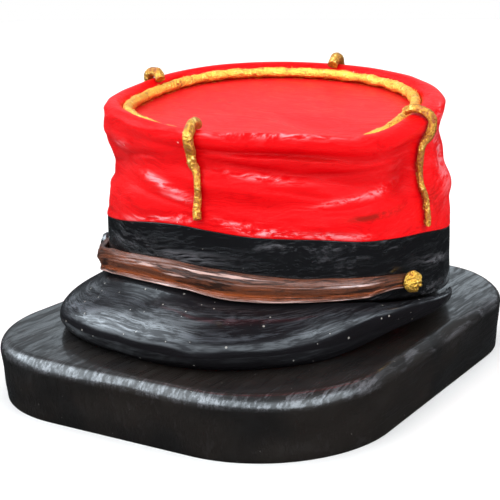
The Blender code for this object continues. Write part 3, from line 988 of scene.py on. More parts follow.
@dataclass(frozen=True)
class StreakedLeather(Finish):
    """Brown leather with dark and orange streaks along it, and pale painted highlights on its lower lip and
    upper half.
    """

    dark: Colour = (0.018, 0.010, 0.008)
    orange: Colour = (0.36, 0.080, 0.018)
    rubbed: Colour = (0.78, 0.52, 0.47)
    stretch: Colour = (34.0, 270.0, 1.0)
    wear_stretch: Colour = (1.0, 6.0, 1.0)
    crack_scale: float = 420.0
    gloss_roughness: float = 0.12
    relief: float = 1.3 * MM

    def paint(self, sheet: MaterialSheet, effects: Effects) -> None:
        """Draws the material.

        Args:
            sheet: Its sheet.
            effects: The shared shader groups.
        """
        where = sheet.along_sheet()
        brush = sheet.place(effects.brush_marks, Position=where, Stretch=self.stretch, Wander=0.5)
        height = brush.outputs["Height"]
        warm = sheet.spread(height, 0.52, 0.66, 0.0, 0.55)
        warm = sheet.math("ADD", warm, sheet.mark("hollow"), clamp=True)
        colour = sheet.blend(warm, self.base, self.orange)
        colour = sheet.blend(sheet.spread(height, 0.41, 0.51, 0.9, 0.0), colour, self.dark)
        fed = {"Vector": sheet.position, "Scale": self.crack_scale}
        cracks = sheet.add("ShaderNodeTexVoronoi", fed, feature="DISTANCE_TO_EDGE")
        fine = sheet.spread(cracks.outputs["Distance"], 0.0, 0.09, 0.35, 0.0)
        colour = sheet.blend(sheet.product(fine, sheet.mark("cracked")), colour, self.dark)
        drawn = sheet.vector("MULTIPLY", where, self.wear_stretch)
        # Painted highlight: pale pink on the lower lip and at places on the upper half
        rubbed = sheet.mark("sheen")
        sheen = sheet.place(effects.patching, Position=drawn, Mark=rubbed, Scale=70.0, Raggedness=0.5)
        sheet.dress("Base Color", sheet.blend(sheet.product(sheen.outputs["Patching"], 0.75), colour, self.rubbed))
        sheet.dress("Roughness", sheet.spread(height, 0.36, 0.64, 0.40, 0.22))
        sheet.dress("Coat Roughness", self.gloss_roughness)
        polish = sheet.product(sheet.math("ADD", rubbed, 0.15), 1.6)
        polish = sheet.math("MULTIPLY", polish, sheet.spread(height, 0.44, 0.55), clamp=True)
        sheet.dress("Coat Weight", polish)
        sheet.raise_by(height, self.relief)


@dataclass(frozen=True)
class WornGilding(Finish):
    """Granular gold over orange and brown, which show in its hollows."""

    kept: Gilt
    hollow: Colour = (0.34, 0.075, 0.008)
    pale: Colour = (1.0, 0.70, 0.22)
    grain_scale: float = 620.0
    patch_scale: float = 150.0
    relief: float = 2.6 * MM

    def paint(self, sheet: MaterialSheet, effects: Effects) -> None:
        """Draws the material.

        Args:
            sheet: Its sheet.
            effects: The shared shader groups, of which it needs none.
        """
        grain = sheet.noise(sheet.position, self.grain_scale, 4.0, 0.65).outputs["Fac"]
        patch = sheet.noise(sheet.position, self.patch_scale, 3.0, 0.5).outputs["Fac"]
        height = sheet.math("ADD", sheet.product(grain, 0.65), sheet.product(patch, 0.35))
        gone = 0.5 - (self.kept.value - 0.5) * 0.4
        left = sheet.spread(height, gone - 0.12, gone + 0.06)
        colour = sheet.blend(left, self.hollow, self.base)
        colour = sheet.blend(sheet.spread(height, 0.54, 0.66), colour, self.pale)
        sheet.dress("Base Color", colour)
        sheet.dress("Metallic", sheet.product(left, 0.9))
        sheet.dress("Roughness", sheet.spread(height, 0.4, 0.62, 0.46, 0.28))
        sheet.raise_by(height, self.relief)


# Each finish by its use: its name, its colour, its roughness and its specular level come first
FINISHES = {
    "side": PaintedCloth("red cloth", (0.80, 0.0014, 0.004), 0.42, 0.06),
    "disc": PaintedCloth(
        "red disc", (0.72, 0.004, 0.008), 0.46, 0.24,
        stretch=(60.0, 260.0, 60.0), gloss=0.2,
    ),
    "band": BlackSatin(
        "band black", (0.005, 0.005, 0.006), 0.34, 0.07,
        stretch=(44.0, 44.0, 330.0), streaks=0.40, rubbed=1.0, depth=0.50 * MM, gloss_roughness=0.10,
    ),
    # The streak colour here is also the bluish painted highlight along the ridge
    "peak": BlackSatin(
        "peak black", (0.0065, 0.0058, 0.0070), 0.36, 0.04,
        streak=(0.15, 0.165, 0.195), stretch=(64.0, 520.0, 1.0), streaks=0.05, rubbed=0.9, dust=0.9,
        depth=0.42 * MM, calm=0.12, dull=0.40, gloss_roughness=0.09, follows_sheet=True,
    ),
    "plinth": BlackSatin(
        "plinth black", (0.0078, 0.0070, 0.0068), 0.38, 0.20,
        stretch=(320.0, 20.0, 160.0), wander=0.4, streaks=0.08, rubbed=1.0, mottled=0.20,
        depth=0.30 * MM, calm=0.4, gloss_roughness=0.13,
    ),
    "dark button": BlackSatin("button black", (0.008, 0.008, 0.010), 0.20, 0.5, streaks=0.1),
    "strap": StreakedLeather("brown leather", (0.140, 0.046, 0.024), 0.4, 0.16),
    "braid": WornGilding("gold braid", (0.56, 0.27, 0.034), 0.4, 0.5, Gilt.WORN),
    "ring": WornGilding("gold ring", (0.90, 0.45, 0.066), 0.4, 0.5, Gilt.BRIGHT),
    "gilt button": WornGilding("gilt button", (0.72, 0.40, 0.060), 0.4, 0.5, Gilt.BRIGHT),
}


@dataclass
class Piece:
    """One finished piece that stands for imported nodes."""

    name: str
    slot: str
    form: KepiForm

    def hand_over(self, made: bpy.types.Object, material: bpy.types.Material | None, *nodes: str) -> None:
        """Dresses a piece, puts it in the place of its nodes and reports it.

        Args:
            made: The piece, at the origin with its place in its mesh.
            material: Its finish, or None where the mesh already has it.
            nodes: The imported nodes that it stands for.
        """
        if material:
            made.data.materials.clear()
            made.data.materials.append(material)
        made.data.shade_smooth()
        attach(made, BODY)
        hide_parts(*nodes)
        log.info("%s: %d faces", made.name, len(made.data.polygons))

    def thicken(self, mesh: bpy.types.Mesh, wall: float, thinned_by: str = "") -> bpy.types.Object:
        """Gives a sheet its wall.

        Args:
            mesh: The sheet, which becomes the outer face.
            wall: Thickness of the wall behind it.
            thinned_by: Name of the mark that holds the share of the wall at each point, if any.

        Returns:
            The piece as a plain mesh object.
        """
        sheet = new_object(self.name, mesh)
        if thinned_by:
            group = sheet.vertex_groups.new(name=thinned_by)
            for corner, share in enumerate(mesh.attributes[thinned_by].data):
                group.add([corner], share.value, "REPLACE")
        solid = sheet.modifiers.new("wall", "SOLIDIFY")
        solid.thickness = wall
        solid.offset = -1
        solid.vertex_group = thinned_by
        return plain_copy(sheet, self.name)


@dataclass
class Plinth(Piece):
    """Painted wooden slab with round corners and an edge rounded and roughened by handling, along which a
    pale highlight is painted.
    """

    low: Vector = field(default_factory=Vector)
    high: Vector = field(default_factory=Vector)
    corner: float = 67 * MM
    chamfer: float = 6.5 * MM
    draft: float = 2 * MM
    unevenness: float = 0.45 * MM
    worked: Ripple = Ripple((3, 16), (0, 3), 5)
    patchy: Ripple = Ripple((5, 30), (0, 1), 9)
    around: int = 480
    side_rows: int = 18
    edge_rows: int = 10
    rings: int = 44

    def outline(self) -> tuple[Grid, Grid]:
        """Middles and directions of the outline's rounding.

        Returns:
            For each step round the slab the middle that its edge is rounded about, and the
            direction in which the edge lies from it.
        """
        half = np.array([self.high.x - self.low.x, self.high.y - self.low.y]) / 2 - self.corner
        arc = math.pi / 2 * self.corner
        # Quarter round by quarter round: its corner, then the straight edge that follows it
        corners = np.array(((1, 1), (-1, 1), (-1, -1), (1, -1))) * half
        lengths = np.array([arc, 2 * half[0], arc, 2 * half[1]] * 2)
        ends = np.concatenate([[0.0], np.cumsum(lengths)])
        run = np.arange(self.around) / self.around * ends[-1]
        part = np.clip(np.searchsorted(ends, run, side="right") - 1, 0, len(lengths) - 1)
        share = (run - ends[part]) / lengths[part]
        quarter, straight = part // 2, part % 2 == 1
        bend = np.where(straight, quarter + 1, quarter + share) * math.pi / 2
        here, there = corners[quarter], corners[(quarter + 1) % 4]
        middle = here + (there - here) * (share * straight)[:, None]
        return middle, np.stack([np.cos(bend), np.sin(bend)], axis=-1)

    def profile(self) -> list[tuple[float, float, float]]:
        """Section of the slab's side and rounded edge.

        Returns:
            For each row its level over the underside, how far it is drawn in, and its share of the painted
            highlight.
        """
        height = self.high.z - self.low.z
        rows = []
        for share in np.linspace(0, 1, self.side_rows):
            rows.append((share * (height - self.chamfer), self.draft * (1 - share), 0.0))
        for bend in np.linspace(0.1, 1.0, self.edge_rows) * math.pi / 2:
            level = height - self.chamfer * (1 - math.sin(bend))
            rows.append((level, self.chamfer * (1 - math.cos(bend)), math.sin(2 * bend)))
        return rows

    def build(self, material: bpy.types.Material) -> None:
        """Lofts the slab from its underside over the edge to the middle of its top.

        Args:
            material: Its finish.
        """
        middle, direction = self.outline()
        turn = full_turn(self.around)
        height = self.high.z - self.low.z
        patchy = 0.75 + 0.25 * self.patchy.at(turn, 0 * turn)
        rows, sheen = [], []
        for level, inset, sheen_share in self.profile():
            wave = self.worked.at(turn, np.full_like(turn, level / height))
            broad = self.unevenness * wave * min(1.0, level / (height / 4))
            radius = self.corner - inset - np.maximum(broad, -self.draft)
            flat = middle + direction * radius[:, None]
            rows.append(np.concatenate([flat, np.full((self.around, 1), self.low.z + level)], axis=1))
            # Painted highlight along the rounded edge, in patches
            sheen.append(sheen_share * patchy)
        last = rows[-1]
        for step in range(1, self.rings):
            rows.append(np.concatenate([last[:, :2] * (1 - step / self.rings), last[:, 2:]], axis=1))
            sheen.append(np.zeros(self.around))
        mesh = grid_mesh(self.name, np.stack(rows), True, {"sheen": np.clip(np.stack(sheen), 0, 1)})
        fan_ends(mesh, len(rows), self.around, (0.0, 0.0, self.high.z), (0.0, 0.0, self.low.z))
        self.hand_over(new_object(self.name, mesh), material, "plinth")


@dataclass
class Band(Piece):
    """Stiff black cap band."""

    wall: float = 3 * MM
    around: int = 400
    rows: int = 40
    # Shares of the height with extra rows, which keep the upper edge sharp
    edge_rows: tuple = (0.985, 0.996)
    row_bias: float = 1.15
    tuck: float = 0.55
    tuck_power: float = 2.2
    unevenness: float = 0.14 * MM
    worked: Ripple = Ripple((4, 24), (0, 3), 21)
    # Painted highlights: angle in degrees, its spread, share of the height
    highlight_spots: tuple = (
        (4, 12, 0.56), (-22, 9, 0.70), (36, 10, 0.80), (92, 12, 0.55), (150, 14, 0.50), (-100, 12, 0.60),
    )
    highlight_tall: float = 0.07

    def build(self, material: bpy.types.Material) -> None:
        """Lofts the band from its drawn-in lower edge to its wavy upper one.

        Args:
            material: Its finish.
        """
        angle = full_turn(self.around)
        share = np.linspace(0.0, 1.0, self.rows) ** self.row_bias
        share = np.sort(np.append(share, self.edge_rows))[:, None]
        up = share * self.form.band_top(angle)
        low = np.clip(1 - up / self.form.band_edge_round, 0.0, 1.0)
        tuck = self.tuck * self.form.band_edge_round * low**self.tuck_power
        wave = self.worked.at(angle, share) * np.minimum(1, up / self.form.band_edge_round)
        points = self.form.band_point(angle, up, -tuck - self.unevenness * (1 + wave))
        # Painted highlight along the rounded lower edge and at the listed places
        sheen = hump(low - 0.6, 0.25) * 0.3 * (low > 0)
        for degrees, spread, level in self.highlight_spots:
            place = hump(up / self.form.band_height - level, self.highlight_tall)
            sheen = sheen + hump(turn_from(angle, degrees), spread) * place
        mesh = grid_mesh(self.name, points, True, {"sheen": np.clip(sheen, 0.0, 1.0)})
        self.hand_over(self.thicken(mesh, self.wall), material, "band")


@dataclass
class Crown(Piece):
    """Red cloth crown: its side, the rim that it turns over, and the disc sunk inside."""

    wall: float = 2.5 * MM
    around: int = 330
    side_rows: int = 96
    rim_rows: int = 20
    inner_rows: int = 4
    disc_rows: int = 60
    lumps: float = 0.30 * MM
    lumpy: Ripple = Ripple((3, 22), (1, 7), 33)
    disc_lumps: float = 0.5 * MM
    disc_lumpy: Ripple = Ripple((0, 5), (0, 4), 41)
    # The lumps fade out over an eighth of the side's height and down to this course inside
    lump_rise: float = 8
    lump_end: float = 2.4
    fold_rise: float = 10
    foot_roll: float = 1.3 * MM
    foot_tall: float = 0.05
    ring_smear: float = 3.0 * MM
    braid_smear: float = 1.0 * MM
    braid_shade: float = 2.2 * MM
    gilding: float = 0.56
    fold_shade: float = 1.6
    # Small folds of the cloth over the main ones: angle in degrees, share of the height, spread in
    # degrees and of the height, share of the relief that it goes in, height climbed in a degree
    small_folds: tuple = (
        (40, 0.87, 26, 0.035, 0.26, -0.0010),
        (24, 0.74, 13, 0.040, 0.24, -0.0045),
        (34, 0.62, 15, 0.035, -0.22, -0.0040),
        (52, 0.70, 18, 0.035, 0.24, 0.0030),
        (36, 0.48, 16, 0.040, 0.20, -0.0040),
        (58, 0.46, 15, 0.040, -0.24, 0.0070),
        (60, 0.36, 14, 0.035, 0.18, 0.0060),
        (30, 0.16, 22, 0.045, 0.18, 0.0020),
        (-16, 0.72, 13, 0.035, 0.22, 0.0050),
        (-8, 0.44, 10, 0.050, -0.22, -0.0080),
        (-4, 0.28, 11, 0.035, 0.20, -0.0070),
        (-36, 0.56, 12, 0.040, 0.20, 0.0030),
        (-48, 0.30, 14, 0.040, -0.20, -0.0040),
        (-44, 0.74, 12, 0.045, 0.20, -0.0040),
        (66, 0.84, 11, 0.045, 0.20, 0.0040),
        (75, 0.55, 4, 0.280, 0.24, 0.0000),
        (96, 0.55, 5, 0.220, -0.24, 0.0000),
        (104, 0.20, 12, 0.060, 0.22, 0.0030),
        (128, 0.60, 12, 0.060, 0.24, 0.0050),
        (-120, 0.70, 14, 0.060, 0.24, -0.0040),
        (-150, 0.30, 14, 0.060, 0.24, 0.0040),
        (164, 0.22, 12, 0.060, 0.22, 0.0030),
    )
    # Painted highlights, pale pink streaks on upward-facing places, where the coat also shines: angle in
    # degrees, course, spread in degrees and of the course, strength, climb of the course in a degree
    painted_highlights: tuple = (
        (-9, 0.51, 6, 0.030, 0.55, -0.008),
        (-3, 0.42, 7, 0.030, 0.60, -0.008),
        (2, 0.31, 5, 0.025, 0.60, -0.006),
        (-29, 0.78, 6, 0.050, 0.3, 0.000),
        (30, 1.36, 20, 0.120, 1.0, 0.000),
        (28, 0.63, 9, 0.030, 0.7, -0.0035),
        (52, 0.41, 7, 0.025, 0.5, 0.0080),
        (66, 0.50, 7, 0.035, 0.5, 0.0060),
        (-6, 0.06, 12, 0.035, 1.2, 0.0020),
        (27, 0.07, 12, 0.040, 1.4, -0.0030),
        (50, 0.05, 9, 0.030, 0.8, 0.0000),
        (104, 0.62, 6, 0.250, 0.6, 0.000),
        (100, 1.15, 9, 0.200, 0.3, 0.000),
        (-60, 0.47, 9, 0.040, 0.6, 0.0040),
        (-84, 0.06, 18, 0.025, 0.8, 0.000),
        (-116, 0.45, 9, 0.040, 0.6, -0.0050),
        (-150, 0.62, 8, 0.040, 0.6, 0.0040),
        (-140, 1.40, 26, 0.110, 0.5, 0.000),
        (176, 0.30, 9, 0.035, 0.7, -0.0060),
        (150, 0.06, 20, 0.025, 0.8, 0.000),
        (134, 0.45, 7, 0.040, 0.6, 0.0060),
    )
    # Painted shade: darker red in the hollows and grooves, in the same columns
    hollow_shades: tuple = (
        (66, 0.27, 8, 0.035, 1.0, 0.0030),
        (58, 0.24, 6, 0.030, 0.7, 0.0030),
        (92, 0.28, 4, 0.120, 0.7, 0.000),
        (45, 0.84, 10, 0.040, 0.4, 0.000),
        (-40, 0.10, 10, 0.030, 0.4, 0.000),
        (-96, 0.24, 9, 0.040, 0.8, 0.0040),
        (-160, 0.12, 10, 0.040, 0.7, -0.003),
        (140, 0.26, 9, 0.040, 0.8, 0.0030),
    )

    def fold_depth(self, angle: Grid, height: Grid) -> Grid:
        """How far the small folds push the side in."""
        return self.form.relief * patches(self.small_folds, angle, height)

    def surface(self, angle: Grid, course: Grid) -> Grid:
        """Points of the crown's outer face with its small folds and lumps.

        Args:
            angle: Angle of each point.
            course: Its course, as the form counts it.

        Returns:
            The points.
        """
        angle, course = np.broadcast_arrays(angle, course)
        side = np.clip(course, 0.0, 1.0)
        inside = np.clip(self.lump_end - course, 0.0, 1.0)
        calm = np.minimum(1.0, self.lump_rise * np.minimum(side, inside))
        fade = np.minimum(1.0, self.fold_rise * np.minimum(side, 1 - side))
        push = self.lumps * self.lumpy.at(angle, course) * calm - self.fold_depth(angle, side) * fade
        push = push + self.foot_roll * hump(side, self.foot_tall)
        return self.form.crown_point(angle, course) + self.form.outward(angle) * push[..., None]

    def gilt(self, points: Grid, ring: Grid, braids: Grid) -> Grid:
        """Mark for the gold that is smeared beside the cords.

        Args:
            points: Points of the cloth.
            ring: Middle line of the ring cord.
            braids: Points of all the upright cords' middle lines.

        Returns:
            The mark at each point.
        """
        smear = nearness(points, ring, self.form.ring_diameter / 2, self.ring_smear)
        beside = nearness(points, braids, self.form.braid_diameter / 2, self.braid_smear)
        return self.gilding * np.maximum(smear, 0.8 * beside)

    def build(self, material: bpy.types.Material, ring: Grid, braids: Grid) -> None:
        """Lofts the side from the band up and over the rim.

        Args:
            material: Its finish.
            ring: Middle line of the ring cord, whose gold is smeared beside it.
            braids: Points of all the upright cords' middle lines.
        """
        angle = full_turn(self.around)
        courses = np.concatenate([
            np.linspace(0.0, 1.0, self.side_rows, endpoint=False),
            np.linspace(1.0, 2.0, self.rim_rows, endpoint=False),
            np.linspace(2.0, 3.0, self.inner_rows),
        ])[:, None]
        points = self.surface(angle, courses)
        side = np.clip(courses, 0.0, 1.0)
        sunk = self.form.dent_depth(angle, side) + self.fold_shade * self.fold_depth(angle, side)
        beside = nearness(points, braids, self.form.braid_diameter / 2, self.braid_shade)
        # Painted shade in folds, beside cords and in hollows, painted highlights, and real gold smear
        marks = {
            "crease_shade": np.clip(np.maximum(sunk / self.form.relief * (courses <= 1), beside), 0, 1),
            "hollow_shade": np.clip(patches(self.hollow_shades, angle, courses), 0.0, 1.0),
            "painted_highlight": np.clip(patches(self.painted_highlights, angle, courses), 0.0, 1.0),
            "gilt": self.gilt(points, ring, braids),
        }
        mesh = grid_mesh(self.name, points, True, marks)
        self.hand_over(self.thicken(mesh, self.wall), material, "crown_side")

    def build_top(self, material: bpy.types.Material, ring: Grid, braids: Grid) -> None:
        """Lofts the sunken disc.

        Args:
            material: Its finish.
            ring: Middle line of the ring cord, whose gold is smeared beside it.
            braids: Points of all the upright cords' middle lines.
        """
        angle = full_turn(self.around)
        share = np.linspace(1.0, 1 / self.disc_rows, self.disc_rows)[:, None]
        wave = self.disc_lumpy.at(angle, share) * share * (1 - share**4)
        points = self.form.disc_point(angle, share)
        points = points + self.form.crest_normal() * (self.disc_lumps * wave)[..., None]
        marks = {"crease_shade": 0.0, "hollow_shade": 0.0, "painted_highlight": 0.0, "gilt": self.gilt(points, ring, braids)}
        top = Piece("crown_top", self.slot, self.form)
        mesh = grid_mesh(top.name, points, True, marks)
        last = (self.disc_rows - 1) * self.around
        fan(mesh, range(last, last + self.around), points[-1].mean(axis=0))
        top.hand_over(top.thicken(mesh, self.wall), material, "crown_top")


@dataclass
class Peak(Piece):
    """Moulded peak that slopes out from the strap's lower edge and turns down to the plinth."""

    wall: float = 3 * MM
    spans: int = 340
    courses: int = 84
    unevenness: float = 0.13 * MM
    worked: Ripple = Ripple((2, 16), (0, 6), 55)
    root_out: float = 0.9 * MM
    lip_gap: float = 0.4 * MM
    lip_most: float = 5 * MM
    lip_power: float = 2.2
    lip_wall: float = 0.05
    tail_wall: float = 0.30
    # Courses of the ridge's painted highlight and of the fainter one on the top, and where on the span it
    # shows most
    highlight_course: float = 1.82
    top_course: float = 1.05
    shown_span: float = -0.20

    def lip(self, angle: Grid) -> Grid:
        """How far the root climbs the band's face, up to just under the strap.

        Args:
            angle: Angle of each point.

        Returns:
            The climb at each point.
        """
        run = (angle - self.form.strap_left) / (self.form.strap_right - self.form.strap_left)
        middle = self.form.band_height * smooth(self.form.strap_sections, 1, run)
        half = self.form.strap_width / 2 * smooth(self.form.strap_sections, 2, run)
        ends = np.clip((run - 0.02) / 0.10, 0.0, 1.0) * np.clip((0.93 - run) / 0.15, 0.0, 1.0)
        return np.clip(middle - half - self.lip_gap, 0.0, self.lip_most) * ends

    def sheen(self, span: Grid, course: Grid) -> Grid:
        """Mark for the painted highlight along the ridge, with a fainter one over the top.

        Args:
            span: Place of each point along the peak, as the form counts it.
            course: Its course.

        Returns:
            The mark at each point.
        """
        shown = hump(span - self.shown_span, 0.30)
        ridge = hump(course - self.highlight_course, 0.22 + 0.20 * shown) * (0.45 + 0.55 * shown)
        return np.maximum(ridge, 0.28 * hump(course - self.top_course, 0.50))

    def build(self, material: bpy.types.Material) -> None:
        """Lofts the peak from its hem over the ridge to its root.

        Args:
            material: Its finish.
        """
        span = np.linspace(-1.0, 1.0, self.spans)
        course = np.linspace(5.0, 0.0, self.courses)[:, None]
        angle = self.form.peak_axis + self.form.peak_half_span * span
        root = np.clip(1 - course, 0.0, 1.0)
        points = self.form.peak_point(span, course)
        points = points + self.form.outward(angle) * (self.root_out * root**2)[..., None]
        points[..., 2] += self.lip(angle) * root**self.lip_power
        calm = np.clip(np.minimum(course, 5 - course), 0.0, 1.0) * np.clip((1 - np.abs(span)) * 12, 0.0, 1.0)
        wave = self.worked.at(math.pi * span, course / 5)
        points = points + grid_normals(points) * (self.unevenness * wave * calm)[..., None]
        reach = self.form.peak_reach * smooth(self.form.peak_sections, 1, np.abs(span))
        wall = np.minimum(course / 0.6, self.tail_wall * reach / self.wall)
        marks = {"sheen": self.sheen(span, course), "wall": np.clip(wall, self.lip_wall, 1.0)}
        steps = np.linalg.norm(np.diff(points, axis=0, prepend=points[:1]), axis=-1)
        along = self.form.band_width / 2 * (angle + 0 * course)
        mesh = grid_mesh(self.name, points, False, marks, (along, np.cumsum(steps, axis=0)))
        self.hand_over(self.thicken(mesh, self.wall, "wall"), material, "peak")


@dataclass
class ChinStrap(Piece):
    """Leather strap with a raised lower lip, from button to button."""

    runs: int = 460
    round_it: int = 60
    grooves: float = 0.22 * MM
    grooved: Ripple = Ripple((1, 8), (3, 12), 61)
    swell: float = 0.45 * MM
    swollen: Ripple = Ripple((3, 14), (0, 2), 67)
    waver: float = 0.03
    wavering: Ripple = Ripple((4, 20), (0, 1), 73)
    doming: float = 0.45
    # Length of the strap and girth of its section on the sheet, in metres
    sheet: tuple = (0.23, 0.035)
    # Painted highlights: share of the run, its spread, share of the half width
    highlight_spots: tuple = (
        (0.40, 0.05, 0.45), (0.48, 0.05, 0.10), (0.53, 0.05, 0.70), (0.62, 0.06, 0.75), (0.86, 0.06, 0.40),
    )
    # Section of the strap: share of the way round it, share of its half width, of its thickness
    section: tuple = (
        (0.00, 0.00, 0.00),
        (0.13, -0.90, 0.00),
        (0.18, -1.00, 0.35),
        (0.23, -0.97, 0.86),
        (0.28, -0.88, 1.10),
        (0.32, -0.77, 1.03),
        (0.36, -0.66, 0.72),
        (0.44, -0.42, 0.80),
        (0.56, 0.16, 1.02),
        (0.68, 0.68, 0.98),
        (0.75, 0.91, 0.80),
        (0.80, 1.00, 0.40),
        (0.86, 0.91, 0.00),
        (1.00, 0.00, 0.00),
    )

    def rubbed(self, run: Grid, across: Grid, lip: Grid) -> Grid:
        """Mark for the strap's pale painted highlights: on its lower lip and at places on its upper half.

        Args:
            run: Place of each point along the strap.
            across: Its share of the half width.
            lip: Share of the lip's height there.

        Returns:
            The mark at each point.
        """
        total = hump(across + 0.90, 0.13) * 0.72 * lip * np.clip((run - 0.05) / 0.1, 0.0, 1.0)
        for share, spread, level in self.highlight_spots:
            total = total + 0.66 * hump(run - share, spread) * hump(across - level, 0.15)
        return np.clip(total, 0.0, 1.0)

    def build(self, material: bpy.types.Material) -> None:
        """Lofts the section along the strap and closes its ends.

        Args:
            material: Its finish.
        """
        run = np.linspace(0.0, 1.0, self.runs)[:, None]
        to_end = np.minimum(run, 1 - run)
        way = np.arange(self.round_it) / self.round_it
        across = np.broadcast_to(smooth(self.section, 1, way), (self.runs, self.round_it))
        raised = np.maximum(smooth(self.section, 2, way), 0.0)
        face = np.clip(raised * 2.5, 0.0, 1.0)
        # Near the buttons the lip and its groove level out
        ends = np.clip(1.6 - to_end / 0.12, 0.0, 1.0)
        raised = raised + (np.maximum(raised, 0.95 * face) - raised) * ends
        groove = self.grooved.at(math.pi * run, across) * self.grooves
        swell = self.swollen.at(math.pi * run, across) * self.swell
        lip = 1 - 0.35 * np.clip((run - 0.72) / 0.1, 0.0, 1.0) * hump(across + 0.85, 0.2)
        dome = 1 + self.doming * hump(across - 0.15, 0.55) * np.clip(to_end / 0.08, 0.0, 1.0)
        out = raised * lip * dome * self.form.strap_thickness + (groove + 0.4 * swell) * face
        edge = self.waver * self.wavering.at(math.pi * run, np.zeros_like(run))
        points = self.form.strap_point(run, across * (1 + edge), np.maximum(out, 0.0))
        # The strap's painted highlights, an orange band above the lip, and cracks
        marks = {
            "sheen": self.rubbed(run, across, lip) * face,
            "hollow": np.clip(hump(across + 0.55, 0.22), 0, 1) * 0.75 * face,
            "cracked": np.clip((run - 0.62) / 0.1, 0, 1),
        }
        sheet = (self.sheet[0] * run, self.sheet[1] * way)
        mesh = grid_mesh(self.name, points, True, marks, sheet)
        fan_ends(mesh, self.runs, self.round_it, points[-1].mean(axis=0), points[0].mean(axis=0))
        # The section runs the other way round than the grid's faces need
        mesh.flip_normals()
        self.hand_over(new_object(self.name, mesh), material, "chin_strap")


@dataclass
class Button(Piece):
    """Domed button on an end of the strap, with a lumpy cast face."""

    run: float
    diameter: float = 11 * MM
    height: float = 5 * MM
    foot: float = 0.25
    lump: float = 0.35 * MM
    cast: Ripple = Ripple((2, 7), (1, 4), 71)
    around: int = 72
    rings: int = 26

    def stand(self) -> Matrix:
        """Where the button sits.

        Returns:
            Its foot on the strap, and its axis square to it.
        """
        step = 0.02
        ends = np.array([max(self.run - step, 0.0), min(self.run + step, 1.0)])
        near, far = self.form.strap_point(ends, 0.0, 0.0)
        square = Vector(far - near).cross(Vector((0, 0, 1))).normalized()
        foot = Vector(self.form.strap_point(np.array(self.run), 0.0, self.form.strap_thickness))
        turned = square.to_track_quat("Z", "Y").to_matrix().to_4x4()
        return Matrix.Translation(foot + square * self.form.clearance) @ turned

    def build(self, material: bpy.types.Material) -> None:
        """Turns the dome, roughens it and sets it on the strap.

        Args:
            material: Its finish.
        """
        angle = full_turn(self.around)
        bend = np.linspace(0.0, 1.0, self.rings)[:, None] * math.pi / 2
        cast = self.cast.at(angle, bend) * self.lump * np.sin(2 * bend) ** 0.5
        radius = self.diameter / 2 * np.cos(bend) + cast * np.cos(bend)
        radius = np.maximum(radius, 0.05 * MM)
        level = self.height * (self.foot + (1 - self.foot) * np.sin(bend)) + cast * np.sin(bend)
        ring = np.stack([radius * np.cos(angle), radius * np.sin(angle), level], axis=-1)
        points = np.concatenate([ring[:1] * (0.9, 0.9, 0.0), ring], axis=0)
        # A faint painted highlight all over, which only the black finish shows
        mesh = grid_mesh(self.name, points, True, {"sheen": 0.3})
        fan_ends(mesh, len(points), self.around, (0.0, 0.0, float(level[-1].mean())), (0.0, 0.0, 0.0))
        mesh.transform(self.stand())
        self.hand_over(new_object(self.name, mesh), material, self.name)


